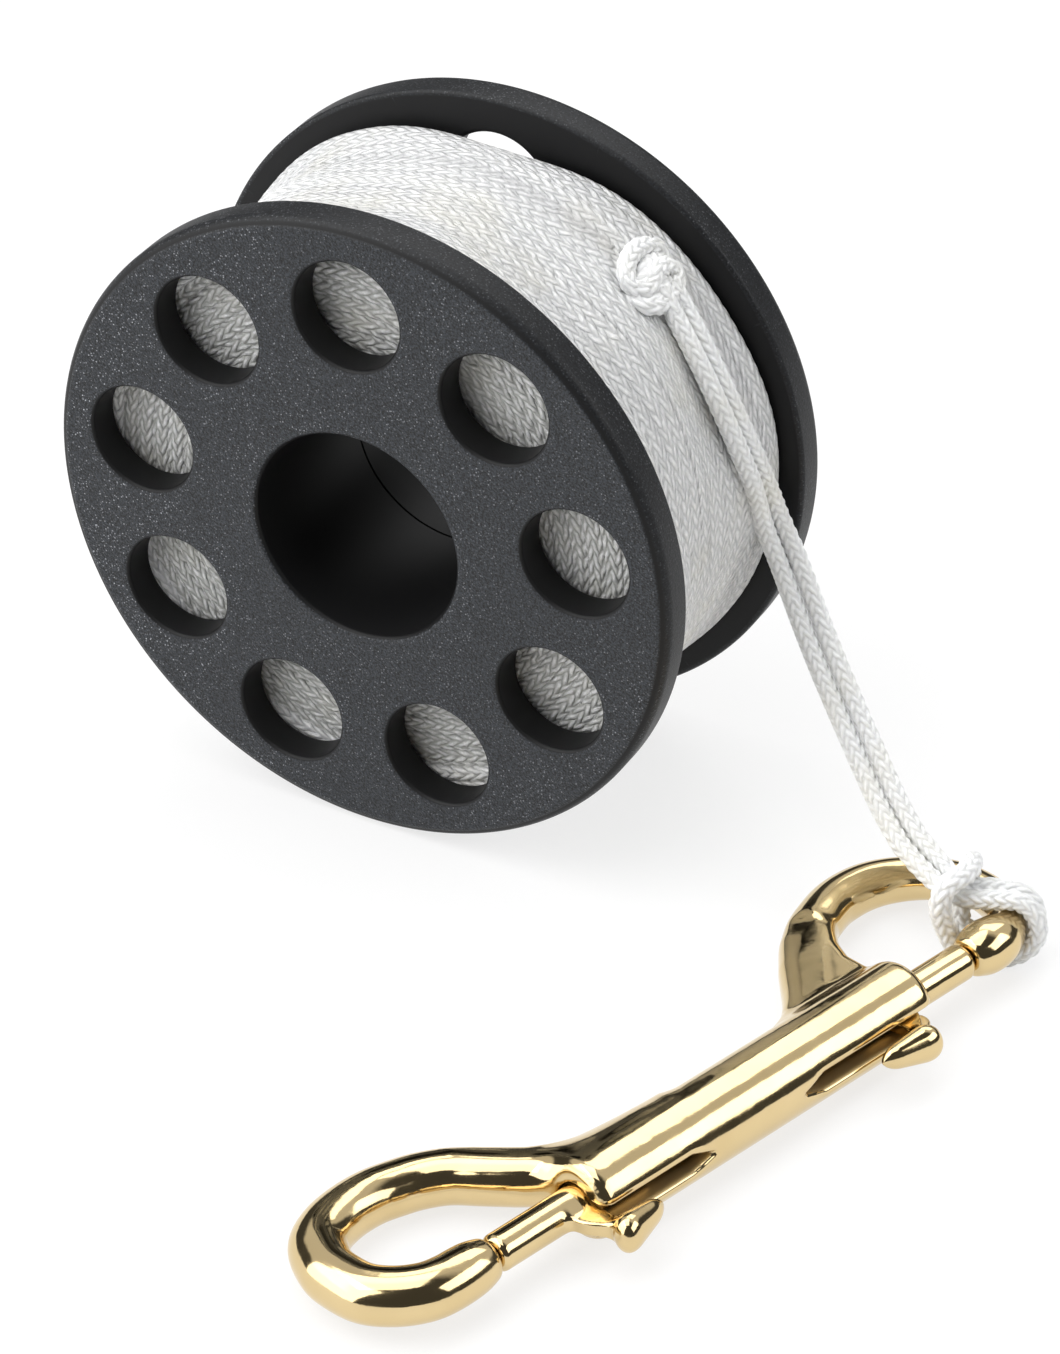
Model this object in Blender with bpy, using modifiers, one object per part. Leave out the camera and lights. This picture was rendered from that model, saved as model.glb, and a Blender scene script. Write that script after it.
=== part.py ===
"""A finger spool: two moulded spool halves, a winding of braided line, and a double-ended
bolt snap tied to the loop at the line's end.

Lengths are in metres and angles in radians. The spool stands on the rims of its two flanges,
its axis along Y with the front flange at -Y, and the snap lies on the same surface. Z is up.
"""

import math

import bmesh
import bpy
import numpy as np
from mathutils import Matrix, Vector

# Spool: two equal flanges on a hub with a bore for a finger
flange_diameter = 0.080
spool_width = 0.0385
flange_thickness = 0.0047
rim_fillet = 0.0014
bore_diameter = 0.0262
bore_fillet = 0.0007
hub_wall = 0.0030
hub_fillet = 0.0008
spigot_length = 0.0033

# Round holes in each flange, in line from one flange to the other
hole_count = 9
hole_diameter = 0.0134
hole_circle_diameter = 0.0575
hole_fillet = 0.0006
first_hole_angle = math.radians(91)

# Line: the pack of turns, and the loop at its end
line_diameter = 0.0018
least_turn_gap = 0.0005
pack_diameter = 0.0716
climb_share = 0.14
cross_share = 0.72

# Knot of the end loop, lying on the pack
knot_length = 0.0080
knot_width = 0.0090
knot_height = 0.0034
knot_angle = math.radians(50)
knot_from_middle = 0.0063
knot_lump_share = 0.62

# Bolt snap: a barrel with a bolt and a hook at each end. Hook lengths run from the barrel's
# middle to the hook's outer face, and reaches from the barrel's axis to the stock's middle.
barrel_length = 0.0505
barrel_diameter = 0.0096
barrel_fillet = 0.0016
hook_stock_diameter = 0.0060
free_hook_length = 0.0538
free_hook_reach = 0.0169
tied_hook_length = 0.0483
tied_hook_reach = 0.0188
web_thickness = 0.0050
web_fillet = 0.0010
bolt_diameter = 0.0043
bolt_tip_fillet = 0.0006
bolt_travel = 0.0120
divider_thickness = 0.0020
spring_wire_diameter = 0.0004
spring_coils = 6

# Thumb lug of a bolt and its slot in the barrel. A setback runs inwards from the barrel's end,
# to the lug's big end and to the neck's inner edge.
tied_lug_setback = 0.0034
free_lug_setback = -0.0015
tied_neck_setback = 0.0053
free_neck_setback = 0.0007
lug_length = 0.0082
lug_width = 0.0054
lug_height = 0.0042
lug_tip_width = 0.0020
lug_fillet = 0.0007
lug_clearance = 0.0011
neck_length = 0.0035
neck_thickness = 0.0020
slot_width = 0.0026
slot_point_length = 0.0030

# Where the snap lies: its barrel's middle, seen from the spool's middle, and its turn from +X
snap_place_x = 0.06483
snap_place_y = -0.04731
snap_turn = math.radians(71.92)

# Gaps and overruns
seat_gap = 0.0003
bolt_clearance = 0.0002
cut_overrun = 0.002

# Facets: steps of a full turn, segments of a rounded edge, and levels of a bar's roundness
flange_steps = 64
core_steps = 48
hole_steps = 16
barrel_steps = 28
bolt_steps = 20
lug_steps = 16
knot_steps = 14
knot_rings = 9
fillet_segments = 3
mouth_segments = 2
soften_segments = 2
loop_points = 24
spring_points = 8
path_points = 24
wire_roundness = 1
loop_roundness = 2
hook_roundness = 4
sharp_angle = math.radians(40)
weld_distance = 0.000001

flange_radius = flange_diameter / 2
half_width = spool_width / 2
bore_radius = bore_diameter / 2
hub_radius = bore_radius + hub_wall
inner_half_width = half_width - flange_thickness
line_radius = line_diameter / 2
pack_radius = pack_diameter / 2
barrel_radius = barrel_diameter / 2
bolt_radius = bolt_diameter / 2
hook_radius = hook_stock_diameter / 2


# Setting up


def clear_scene():
    for found in list(bpy.data.objects):
        bpy.data.objects.remove(found, do_unlink=True)


def new_collection(name):
    made = bpy.data.collections.new(name)
    bpy.context.scene.collection.children.link(made)
    return made


def new_material(name, colour, roughness, metallic):
    made = bpy.data.materials.new(name)
    made.use_nodes = True
    shader = made.node_tree.nodes["Principled BSDF"]
    shader.inputs["Base Color"].default_value = (*colour, 1.0)
    shader.inputs["Roughness"].default_value = roughness
    shader.inputs["Metallic"].default_value = metallic
    return made


def add_object(name, data, collection, parent, material=None):
    made = bpy.data.objects.new(name, data)
    collection.objects.link(made)
    made.parent = parent
    if material is not None:
        data.materials.append(material)
    return made


def add_empty(name, collection, parent=None, location=(0, 0, 0), turn=(0, 0, 0)):
    made = add_object(name, None, collection, parent)
    made.location = location
    made.rotation_euler = turn
    return made


def hide(tool):
    tool.hide_render = True
    tool.display_type = "WIRE"
    return tool


# Shapes


def arc(centre, radius, start_degrees, end_degrees, segments=fillet_segments):
    """Points (across, along) of a round corner, both ends included."""
    angles = np.radians(np.linspace(start_degrees, end_degrees, segments + 1))
    return [(centre[0] + radius * math.cos(a), centre[1] + radius * math.sin(a)) for a in angles]


def turned(name, profile, steps, collection, parent, material=None, closed=True):
    """A solid turned about its own Z from (radius, height) points."""
    mesh = bpy.data.meshes.new(name)
    count = len(profile)
    edges = [(i, (i + 1) % count) for i in range(count if closed else count - 1)]
    mesh.from_pydata([(across, 0, along) for across, along in profile], edges, [])
    made = add_object(name, mesh, collection, parent, material)
    screw = made.modifiers.new("turn", "SCREW")
    screw.steps = screw.render_steps = steps
    screw.use_merge_vertices = True
    screw.merge_threshold = 10 * weld_distance
    screw.use_smooth_shade = True
    return made


def rod(name, radius, length, steps, collection, parent, material=None):
    """A cylinder along its own X, centred on its origin."""
    mesh = bpy.data.meshes.new(name)
    work = bmesh.new()
    bmesh.ops.create_cone(
        work,
        cap_ends=True,
        segments=steps,
        radius1=radius,
        radius2=radius,
        depth=length,
        matrix=Matrix.Rotation(math.pi / 2, 4, "Y"),
    )
    work.to_mesh(mesh)
    work.free()
    mesh.shade_smooth()
    mesh.set_sharp_from_angle(angle=sharp_angle)
    return add_object(name, mesh, collection, parent, material)


def block(name, size, collection, parent, material=None):
    mesh = bpy.data.meshes.new(name)
    work = bmesh.new()
    bmesh.ops.create_cube(work, size=1, matrix=Matrix.Diagonal((*size, 1)))
    work.to_mesh(mesh)
    work.free()
    return add_object(name, mesh, collection, parent, material)


def tube(name, points, radii, resolution, collection, parent, material=None):
    """A round bar along points, made a mesh, with its end caps welded on."""
    curve = bpy.data.curves.new(name, "CURVE")
    curve.dimensions = "3D"
    curve.bevel_depth = 1
    curve.bevel_resolution = resolution
    curve.use_fill_caps = True
    spline = curve.splines.new("POLY")
    spline.points.add(len(points) - 1)
    for place, point, radius in zip(spline.points, points, radii):
        place.co = (*point, 1)
        place.radius = radius
    return made_mesh(name, curve, collection, parent, material)


def plate(name, outline, thickness, collection, parent, material=None):
    """A flat plate from an outline in its own XY, centred on its own Z."""
    curve = bpy.data.curves.new(name, "CURVE")
    curve.dimensions = "2D"
    curve.fill_mode = "BOTH"
    curve.extrude = thickness / 2
    spline = curve.splines.new("POLY")
    spline.points.add(len(outline) - 1)
    for place, point in zip(spline.points, outline):
        place.co = (*point, 0, 1)
    spline.use_cyclic_u = True
    return made_mesh(name, curve, collection, parent, material)


def made_mesh(name, curve, collection, parent, material):
    """Turns a curve into a mesh object and removes the curve."""
    source = add_object(name + "_curve", curve, collection, None)
    bpy.context.view_layer.update()
    evaluated = source.evaluated_get(bpy.context.evaluated_depsgraph_get())
    mesh = bpy.data.meshes.new_from_object(evaluated)
    work = bmesh.new()
    work.from_mesh(mesh)
    bmesh.ops.remove_doubles(work, verts=work.verts, dist=weld_distance)
    bmesh.ops.recalc_face_normals(work, faces=work.faces)
    work.to_mesh(mesh)
    work.free()
    bpy.data.objects.remove(source, do_unlink=True)
    bpy.data.curves.remove(curve)
    mesh.name = name
    mesh.shade_smooth()
    mesh.set_sharp_from_angle(angle=sharp_angle)
    return add_object(name, mesh, collection, parent, material)


def combine(target, operation, tool):
    step = target.modifiers.new(tool.name, "BOOLEAN")
    step.operation = operation
    step.solver = "EXACT"
    step.object = hide(tool)


def smooth_path(points, count):
    """count points evenly spaced on a smooth curve through the given points."""
    knots = np.array(points, float)
    ends = np.vstack([2 * knots[0] - knots[1], knots, 2 * knots[-1] - knots[-2]])
    share = np.linspace(0, 1, path_points, endpoint=False)[:, None]
    pieces = []
    for before, first, second, after in zip(ends, ends[1:], ends[2:], ends[3:]):
        pieces.append(
            first
            + share * (second - before) / 2
            + share**2 * (2 * before - 5 * first + 4 * second - after) / 2
            + share**3 * (3 * first - before - 3 * second + after) / 2
        )
    fine = np.vstack([*pieces, knots[-1:]])
    travelled = np.concatenate([[0], np.cumsum(np.linalg.norm(np.diff(fine, axis=0), axis=1))])
    wanted = np.linspace(0, travelled[-1], count)
    return np.column_stack([np.interp(wanted, travelled, fine[:, axis]) for axis in range(3)])


# Spool halves


def half_profile(is_spigot):
    """Section of a spool half: radius, and distance from mid-width towards its flange."""
    spigot_radius = bore_radius + (hub_wall - seat_gap) / 2
    socket_radius = spigot_radius + seat_gap
    top = half_width
    flange_inside = half_width - flange_thickness
    outside = [
        *arc((flange_radius - rim_fillet, top - rim_fillet), rim_fillet, 90, 0),
        *arc((flange_radius - rim_fillet, flange_inside + rim_fillet), rim_fillet, 0, -90),
        *arc((hub_radius + hub_fillet, flange_inside - hub_fillet), hub_fillet, 90, 180),
        (hub_radius, seat_gap / 2),
    ]
    if is_spigot:
        end = [
            (spigot_radius, seat_gap / 2),
            (spigot_radius, -spigot_length),
            (bore_radius, -spigot_length),
        ]
    else:
        end = [
            (socket_radius, seat_gap / 2),
            (socket_radius, spigot_length + seat_gap),
            (bore_radius, spigot_length + seat_gap),
        ]
    mouth = arc((bore_radius + bore_fillet, top - bore_fillet), bore_fillet, 180, 90)
    return [*outside, *end, *mouth]


def hole_profile():
    """Section of a flange-hole cutter that runs through both flanges and flares at each face."""
    radius = hole_diameter / 2
    flared = radius + hole_fillet

    def mouth(face, into_material, first, last):
        centre = (flared, face + into_material * hole_fillet)
        return arc(centre, hole_fillet, first, last, mouth_segments)

    far = half_width + cut_overrun
    return [
        (0, far),
        (flared, far),
        *mouth(half_width, -1, 90, 180),
        *mouth(inner_half_width, 1, 180, 270),
        *mouth(-inner_half_width, -1, 90, 180),
        *mouth(-half_width, 1, 180, 270),
        (flared, -far),
        (0, -far),
    ]


def make_spool(parts, cutters, spool_frame, material):
    front_turn = add_empty("front_half_axis", parts, spool_frame, turn=(math.pi / 2, 0, 0))
    rear_turn = add_empty("rear_half_axis", parts, spool_frame, turn=(-math.pi / 2, 0, 0))
    holes = bpy.data.collections.new("flange_hole_cutters")
    cutters.children.link(holes)
    for number in range(hole_count):
        angle = first_hole_angle + number * math.tau / hole_count
        name = f"flange_hole_{number + 1}"
        cutter = turned(name, hole_profile(), hole_steps, holes, front_turn, closed=False)
        across = hole_circle_diameter / 2
        cutter.location = (across * math.cos(angle), across * math.sin(angle), 0)
        hide(cutter)
    halves = []
    for name, turn, is_spigot in (
        ("spool_half_front", front_turn, True),
        ("spool_half_rear", rear_turn, False),
    ):
        half = turned(name, half_profile(is_spigot), flange_steps, parts, turn, material)
        step = half.modifiers.new("holes", "BOOLEAN")
        step.operation = "DIFFERENCE"
        step.solver = "EXACT"
        step.operand_type = "COLLECTION"
        step.collection = holes
        halves.append(half)
    return halves


# Line: core, outer layer, knot and end loop


def core_radius():
    return pack_radius - line_diameter - 2 * seat_gap


def make_line_core(parts, spool_frame, material):
    """The wound mass under the outer layer, a ring round the hub between the flanges."""
    turn = add_empty("line_core_axis", parts, spool_frame, turn=(math.pi / 2, 0, 0))
    reach = inner_half_width - seat_gap
    inner = hub_radius + seat_gap
    corner = hub_fillet + seat_gap
    profile = [
        (inner + corner, reach),
        (core_radius(), reach),
        (core_radius(), -reach),
        (inner + corner, -reach),
        (inner, -reach + corner),
        (inner, reach - corner),
    ]
    return turned("line_core", profile, core_steps, parts, turn, material)


def winding_path():
    """Centre line of the outer layer, wound from the front flange to the rear one, then up
    on to the layer and across to the knot. Angles fall, so the line comes over the top.
    """
    reach = inner_half_width - 2 * seat_gap - line_radius
    turns = math.floor(2 * reach / (line_diameter + least_turn_gap))
    pitch = 2 * reach / turns
    lower = core_radius() + seat_gap + line_radius + seat_gap
    upper = lower + line_diameter + least_turn_gap
    knot_end = (knot_length / 2 + seat_gap) / upper
    last_angle = knot_angle + knot_end
    count = round((turns + cross_share) * loop_points)
    steps = np.arange(count + 1) / loop_points
    angle = last_angle + (steps[-1] - steps) * math.tau
    along = -reach + pitch * np.minimum(steps, turns)
    after = np.maximum(steps - turns, 0)
    climb = np.clip(after / climb_share, 0, 1)
    cross = np.clip((after - climb_share) / (cross_share - 2 * climb_share), 0, 1)
    climb, cross = (share**2 * (3 - 2 * share) for share in (climb, cross))
    radius = lower + (upper - lower) * climb
    along = along + (knot_from_middle - reach) * cross
    path = np.column_stack([radius * np.cos(angle), along, radius * np.sin(angle)])
    return path, turns


def least_gap(path, diameter, apart):
    """Least clear distance between two points of a tube more than apart points from each other."""
    least = math.inf
    for number in range(len(path) - apart):
        rest = path[number + apart :]
        least = min(least, float(np.linalg.norm(rest - path[number], axis=1).min()))
    return least - diameter


def make_winding(parts, spool_frame, material):
    path, turns = winding_path()
    gap = least_gap(path, line_diameter, loop_points // 2)
    print(f"line_outer_layer: {turns} turns, least gap to itself {gap * 1000:.2f} mm")
    radii = [line_radius] * len(path)
    return tube("line_outer_layer", path, radii, wire_roundness, parts, spool_frame, material)


def make_knot(parts, cutters, spool_frame, material):
    """Two lumps of the tied line, one on each side of the knot's middle."""
    resting = pack_radius + seat_gap + knot_height / 2
    frame = add_empty(
        "knot_frame",
        parts,
        spool_frame,
        location=(
            resting * math.cos(knot_angle),
            knot_from_middle,
            resting * math.sin(knot_angle),
        ),
        turn=(0, -knot_angle, 0),
    )
    lumps = []
    for name, side, home in (("knot", 1, parts), ("knot_lower_lump", -1, cutters)):
        mesh = bpy.data.meshes.new(name)
        work = bmesh.new()
        size = (knot_height, knot_width, knot_length * knot_lump_share)
        bmesh.ops.create_uvsphere(
            work,
            u_segments=knot_steps,
            v_segments=knot_rings,
            radius=1 / 2,
            matrix=Matrix.Diagonal((*size, 1)),
        )
        work.to_mesh(mesh)
        work.free()
        mesh.shade_smooth()
        lump = add_object(name, mesh, home, frame, material)
        lump.location = (0, 0, side * knot_length * (1 - knot_lump_share) / 2)
        lumps.append(lump)
    combine(lumps[0], "UNION", lumps[1])
    return lumps[0]


# The pair's middle line from the knot over the pack and down to the snap's hook, from the
# spool's middle, in metres
end_loop_route = [
    (0.0276, 0.0062, 0.0248),
    (0.0318, 0.0054, 0.0190),
    (0.0352, 0.0060, 0.0117),
    (0.0369, 0.0086, 0.0040),
    (0.0378, 0.0110, -0.0030),
    (0.0405, 0.0107, -0.0082),
    (0.0469, 0.0068, -0.0159),
    (0.0552, 0.0015, -0.0237),
    (0.0606, -0.0022, -0.0278),
    (0.0657, -0.0054, -0.0301),
]
pair_points = 20
hitch_points = 54
apart_points = 5

# The pair lies flat on the pack, hangs with its flat side to the front corner, and lies flat on
# the hook. Shares of its length at which it leaves the pack, takes to turn, and nears the hook.
leaving_share = 0.25
turning_share = 0.20
nearing_share = 0.75
hanging_side = (0.396, -0.716, 0.575)

# The hitch round the hook's stock, seen along the stock. A place is given as shares of the
# line's distance from the stock's middle, towards the hook's inside and up, and as a share of
# the spacing of the two legs along the stock. Round the stock it is an angle in degrees from
# the hook's inside over the top, a share of that distance and the same spacing.
hitch_place_share = 0.857
hitch_lead_shares = [(1.35, 1.19), (0.92, 1.14), (0.55, 1.10), (0.22, 1.07)]
hitch_round_shares = [
    (100, 1.04, 0.50),
    (120, 1.04, 0.50),
    (142, 1.03, 0.52),
    (165, 1.02, 0.56),
    (188, 1.02, 0.62),
    (211, 1.01, 0.68),
    (238, 0.97, 0.75),
    (264, 0.95, 0.80),
    (290, 1.04, 0.86),
    (314, 1.25, 0.96),
    (338, 1.38, 1.10),
]
hitch_near_bar_shares = [
    (1.44, 0.02, 1.24),
    (1.50, 0.45, 1.40),
    (1.53, 0.90, 1.54),
    (1.49, 1.36, 1.54),
    (1.40, 1.76, 1.24),
    (1.26, 1.94, 0.72),
]
hitch_far_bar_shares = [
    (1.28, 0.02, 1.30),
    (1.12, 0.45, 1.54),
    (0.92, 0.92, 1.72),
    (0.82, 1.38, 1.68),
    (0.87, 1.78, 1.34),
    (1.01, 1.96, 0.74),
]
hitch_middle_share = (1.14, 2.02, 0.05)


def hitch_placer(snap_to_spool):
    """A function that turns the hitch's shares into a place seen from the spool's middle."""
    line, radii = hook_line(1)
    travelled = np.concatenate([[0], np.cumsum(np.linalg.norm(np.diff(line, axis=0), axis=1))])
    middle = hitch_place_share * travelled[-1]
    spacing = line_diameter + least_turn_gap

    def stock_at(distance):
        return Vector([float(np.interp(distance, travelled, line[:, axis])) for axis in range(3)])

    upward = Vector((0, 0, 1))
    tangent = (stock_at(middle + spacing / 2) - stock_at(middle - spacing / 2)).normalized()
    inward = tangent.cross(upward)

    def place(inside, above, along):
        distance = middle + along * spacing
        wrap = float(np.interp(distance, travelled, radii)) + seat_gap + line_radius
        return snap_to_spool @ (stock_at(distance) + wrap * (inside * inward + above * upward))

    return place


def hitch_path(place):
    """Cow hitch round the hook's stock, from one leg of the pair to the other. Each leg comes in
    from inside the hook, goes over the top, down outside, under and up inside, and the two meet
    in a bar that crosses over both legs.
    """

    def strand(side, bar_shares):
        turns = [
            place(share * math.cos(math.radians(angle)), share * math.sin(math.radians(angle)), side * along)
            for angle, share, along in hitch_round_shares
        ]
        return [*turns, *(place(inside, above, side * along) for inside, above, along in bar_shares)]

    near = strand(1, hitch_near_bar_shares)
    far = strand(-1, hitch_far_bar_shares)
    return [*near, place(*hitch_middle_share), *reversed(far)]


def make_end_loop(parts, spool_frame, snap_to_spool, material):
    """The doubled line from the knot to the snap, one tube that goes round the hook."""
    place = hitch_placer(snap_to_spool)
    lead = [place(inside, above, 0) for inside, above in hitch_lead_shares]
    pair = smooth_path([*end_loop_route, *lead], pair_points)
    radial = pair * (1, 0, 1) / np.linalg.norm(pair * (1, 0, 1), axis=1)[:, None]
    travelled = np.linspace(0, 1, pair_points)[:, None]
    hanging = np.clip((travelled - leaving_share) / turning_share, 0, 1)
    hooked = np.clip((travelled - nearing_share) / turning_share, 0, 1)
    away = radial * (1 - hanging) + np.array(hanging_side) * hanging
    away = away * (1 - hooked) + np.array([0, 0, 1]) * hooked
    sideways = np.cross(np.gradient(pair, axis=0), away)
    sideways /= np.linalg.norm(sideways, axis=1)[:, None]
    hitch = hitch_path(place)
    side = 1 if Vector(sideways[-1]) @ (hitch[0] - hitch[-1]) > 0 else -1
    offset = sideways * side * (line_diameter + least_turn_gap) / 2
    down, back = pair + offset, pair - offset
    middle = smooth_path([*down[-4:], *hitch, *reversed(back[-4:])], hitch_points)
    path = np.vstack([down[:-4], middle, back[:-4][::-1]])
    length = float(np.linalg.norm(np.diff(path, axis=0), axis=1).sum())
    gap = least_gap(path, line_diameter, apart_points)
    print(f"end_loop: {length * 1000:.0f} mm long, least gap to itself {gap * 1000:.2f} mm")
    radii = [line_radius] * len(path)
    return tube("end_loop", path, radii, loop_roundness, parts, spool_frame, material)


# Bolt snap, in a frame of its own: X along the barrel to the tied hook, Y to the hooks' backs

# Centre line of a hook from its root to its end face, as shares of the hook's length and of
# its reach. The third number is the stock's radius as a share of its full radius.
free_hook_shares = [
    (0.255, 0.115, 0.92),
    (0.360, 0.180, 1.00),
    (0.422, 0.275, 1.02),
    (0.474, 0.400, 1.02),
    (0.532, 0.615, 1.02),
    (0.576, 0.787, 1.02),
    (0.625, 0.893, 1.02),
    (0.673, 0.953, 1.02),
    (0.727, 0.998, 1.02),
    (0.790, 1.000, 1.03),
    (0.853, 0.953, 1.05),
    (0.903, 0.852, 1.06),
    (0.933, 0.663, 1.06),
    (0.940, 0.520, 1.06),
    (0.933, 0.310, 1.06),
    (0.900, 0.150, 1.05),
    (0.855, 0.045, 1.04),
    (0.810, 0.006, 1.03),
    (0.745, 0.000, 0.98),
    (0.697, 0.000, 0.78),
]
tied_hook_shares = [
    (0.246, 0.165, 0.92),
    (0.333, 0.314, 0.98),
    (0.435, 0.600, 1.00),
    (0.493, 0.755, 1.00),
    (0.555, 0.872, 0.98),
    (0.616, 0.941, 0.97),
    (0.677, 0.990, 0.96),
    (0.735, 1.000, 0.95),
    (0.785, 0.984, 0.93),
    (0.832, 0.936, 0.90),
    (0.878, 0.850, 0.86),
    (0.917, 0.740, 0.83),
    (0.944, 0.615, 0.80),
    (0.955, 0.480, 0.78),
    (0.950, 0.330, 0.78),
    (0.925, 0.175, 0.78),
    (0.880, 0.050, 0.80),
    (0.828, 0.000, 1.00),
    (0.775, 0.000, 1.04),
    (0.7225, 0.000, 0.76),
]
hook_points = 36

# The web that fairs a hook's root into the barrel, as shares of the hook's length and reach
free_web_shares = [
    (0.167, 0.0),
    (0.167, 0.237),
    (0.260, 0.272),
    (0.361, 0.355),
    (0.446, 0.520),
    (0.520, 0.757),
    (0.576, 0.880),
    (0.576, 0.700),
    (0.502, 0.375),
    (0.462, 0.237),
    (0.462, 0.0),
]
tied_web_shares = [
    (0.186, 0.0),
    (0.186, 0.234),
    (0.261, 0.298),
    (0.321, 0.457),
    (0.393, 0.670),
    (0.468, 0.798),
    (0.545, 0.860),
    (0.545, 0.720),
    (0.505, 0.500),
    (0.495, 0.245),
    (0.495, 0.0),
]


def hook_sizes(side):
    """Length, reach, centre-line shares and web shares of the hook at the barrel's +X or -X end."""
    if side > 0:
        return tied_hook_length, tied_hook_reach, tied_hook_shares, tied_web_shares
    return free_hook_length, free_hook_reach, free_hook_shares, free_web_shares


def hook_line(side):
    """Centre line of a hook in the snap's frame, and the stock's radius along it."""
    length, reach, shares, _ = hook_sizes(side)
    line = smooth_path([(u * length, v * reach, r * hook_radius) for u, v, r in shares], hook_points)
    radii = line[:, 2].copy()
    line[:, 2] = 0
    line[:, 0] *= side
    return line, radii


def hook_tip(side):
    """Distance of a hook's end face from the barrel's middle."""
    length, _, shares, _ = hook_sizes(side)
    return shares[-1][0] * length


def web_outline(side):
    length, reach, _, shares = hook_sizes(side)
    return [(side * u * length, v * reach) for u, v in shares]


def snap_roll():
    """How far the snap leans about its barrel until the first of its hooks touches the table."""
    least = math.inf
    for side in (-1, 1):
        line, radii = hook_line(side)
        sines = [
            (barrel_radius - radius) / place[1]
            for place, radius in zip(line, radii)
            if place[1] > barrel_radius
        ]
        least = min(least, min(sines))
    return math.asin(least)


def make_snap_body(parts, cutters, snap_frame, material):
    half = barrel_length / 2
    along_x = add_empty("barrel_axis", parts, snap_frame, turn=(0, math.pi / 2, 0))
    profile = [
        (0, half),
        *arc((barrel_radius - barrel_fillet, half - barrel_fillet), barrel_fillet, 90, 0),
        *arc((barrel_radius - barrel_fillet, -half + barrel_fillet), barrel_fillet, 0, -90),
        (0, -half),
    ]
    body = turned("snap_body", profile, barrel_steps, parts, along_x, material, closed=False)
    for side, name in ((1, "tied"), (-1, "free")):
        line, radii = hook_line(side)
        hook = tube(f"{name}_hook", line, radii, hook_roundness, cutters, snap_frame)
        combine(body, "UNION", hook)
        web = plate(f"{name}_web", web_outline(side), web_thickness, cutters, snap_frame)
        soften = web.modifiers.new("soften", "BEVEL")
        soften.width = web_fillet
        soften.segments = soften_segments
        combine(body, "UNION", web)
    bore_length = half - divider_thickness / 2 + cut_overrun
    slot_height = barrel_radius + cut_overrun
    for side, name in ((1, "tied"), (-1, "free")):
        running_radius = bolt_radius + bolt_clearance
        bore = rod(f"{name}_bore", running_radius, bore_length, bolt_steps, cutters, snap_frame)
        bore.location = (side * (divider_thickness + bore_length) / 2, 0, 0)
        combine(body, "DIFFERENCE", bore)
        slot = plate(f"{name}_slot", slot_outline(side), slot_height, cutters, snap_frame)
        slot.rotation_euler = (math.pi / 2, 0, 0)
        slot.location = (0, -slot_height / 2, 0)
        combine(body, "DIFFERENCE", slot)
    return body


def neck_inner(side):
    """Distance from the barrel's middle to the inner edge of a closed bolt's neck."""
    return barrel_length / 2 - (tied_neck_setback if side > 0 else free_neck_setback)


def slot_end(side):
    """Distance from the barrel's middle to where a slot starts to narrow to its point."""
    return neck_inner(side) - bolt_travel - seat_gap


def slot_outline(side):
    end = slot_end(side)
    mouth = barrel_length / 2 + cut_overrun
    low, high = -slot_width / 2, slot_width / 2
    return [
        (side * (end - slot_point_length), 0),
        (side * end, low),
        (side * mouth, low),
        (side * mouth, high),
        (side * end, high),
    ]


def bolt_inner():
    """Distance from the barrel's middle to a closed bolt's inner end."""
    return divider_thickness / 2 + bolt_travel + spring_solid_length() + 2 * seat_gap


def spring_solid_length():
    return (spring_coils + 1) * spring_wire_diameter


def make_bolt(name, side, parts, cutters, snap_frame, material):
    """A bolt with its neck in the slot and its thumb lug outside the barrel."""
    tip = hook_tip(side) - seat_gap
    length = tip - bolt_inner()
    bolt = rod(name, bolt_radius, length, bolt_steps, parts, snap_frame, material)
    bolt.location = (side * (bolt_inner() + length / 2), 0, 0)
    soften = bolt.modifiers.new("soften", "BEVEL")
    soften.width = bolt_tip_fillet
    soften.segments = soften_segments
    soften.limit_method = "ANGLE"
    lug_inner_side = barrel_radius + lug_clearance
    neck_reach = lug_inner_side + lug_height / 2
    neck = block(name + "_neck", (neck_length, neck_reach, neck_thickness), cutters, snap_frame)
    neck.location = (side * (neck_inner(side) + neck_length / 2), -neck_reach / 2, 0)
    combine(bolt, "UNION", neck)
    lug_end = barrel_length / 2 - (tied_lug_setback if side > 0 else free_lug_setback)
    combine(bolt, "UNION", make_lug(name + "_lug", side, lug_end, lug_inner_side, cutters, snap_frame))
    return bolt


def make_lug(name, side, lug_end, inner_side, cutters, snap_frame):
    """A cone with its flat end to the hook, tapering towards the barrel's middle. It leans so
    that its side towards the barrel runs along the barrel.
    """
    mesh = bpy.data.meshes.new(name)
    work = bmesh.new()
    turn = Matrix.Rotation(side * math.pi / 2, 4, "Y")
    flatten = Matrix.Diagonal((1, lug_height / lug_width, 1, 1))
    bmesh.ops.create_cone(
        work,
        cap_ends=True,
        segments=lug_steps,
        radius1=lug_tip_width / 2,
        radius2=lug_width / 2,
        depth=lug_length,
        matrix=flatten @ turn,
    )
    work.to_mesh(mesh)
    work.free()
    mesh.shade_smooth()
    mesh.set_sharp_from_angle(angle=sharp_angle)
    lug = add_object(name, mesh, cutters, snap_frame)
    tip_height = lug_tip_width * lug_height / lug_width
    middle_height = (lug_height + tip_height) / 2
    lug.location = (side * (lug_end - lug_length / 2), -inner_side - middle_height / 2, 0)
    lug.rotation_euler = (0, 0, -side * math.atan((lug_height - tip_height) / 2 / lug_length))
    soften = lug.modifiers.new("soften", "BEVEL")
    soften.width = lug_fillet
    soften.segments = soften_segments
    soften.limit_method = "ANGLE"
    return lug


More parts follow.
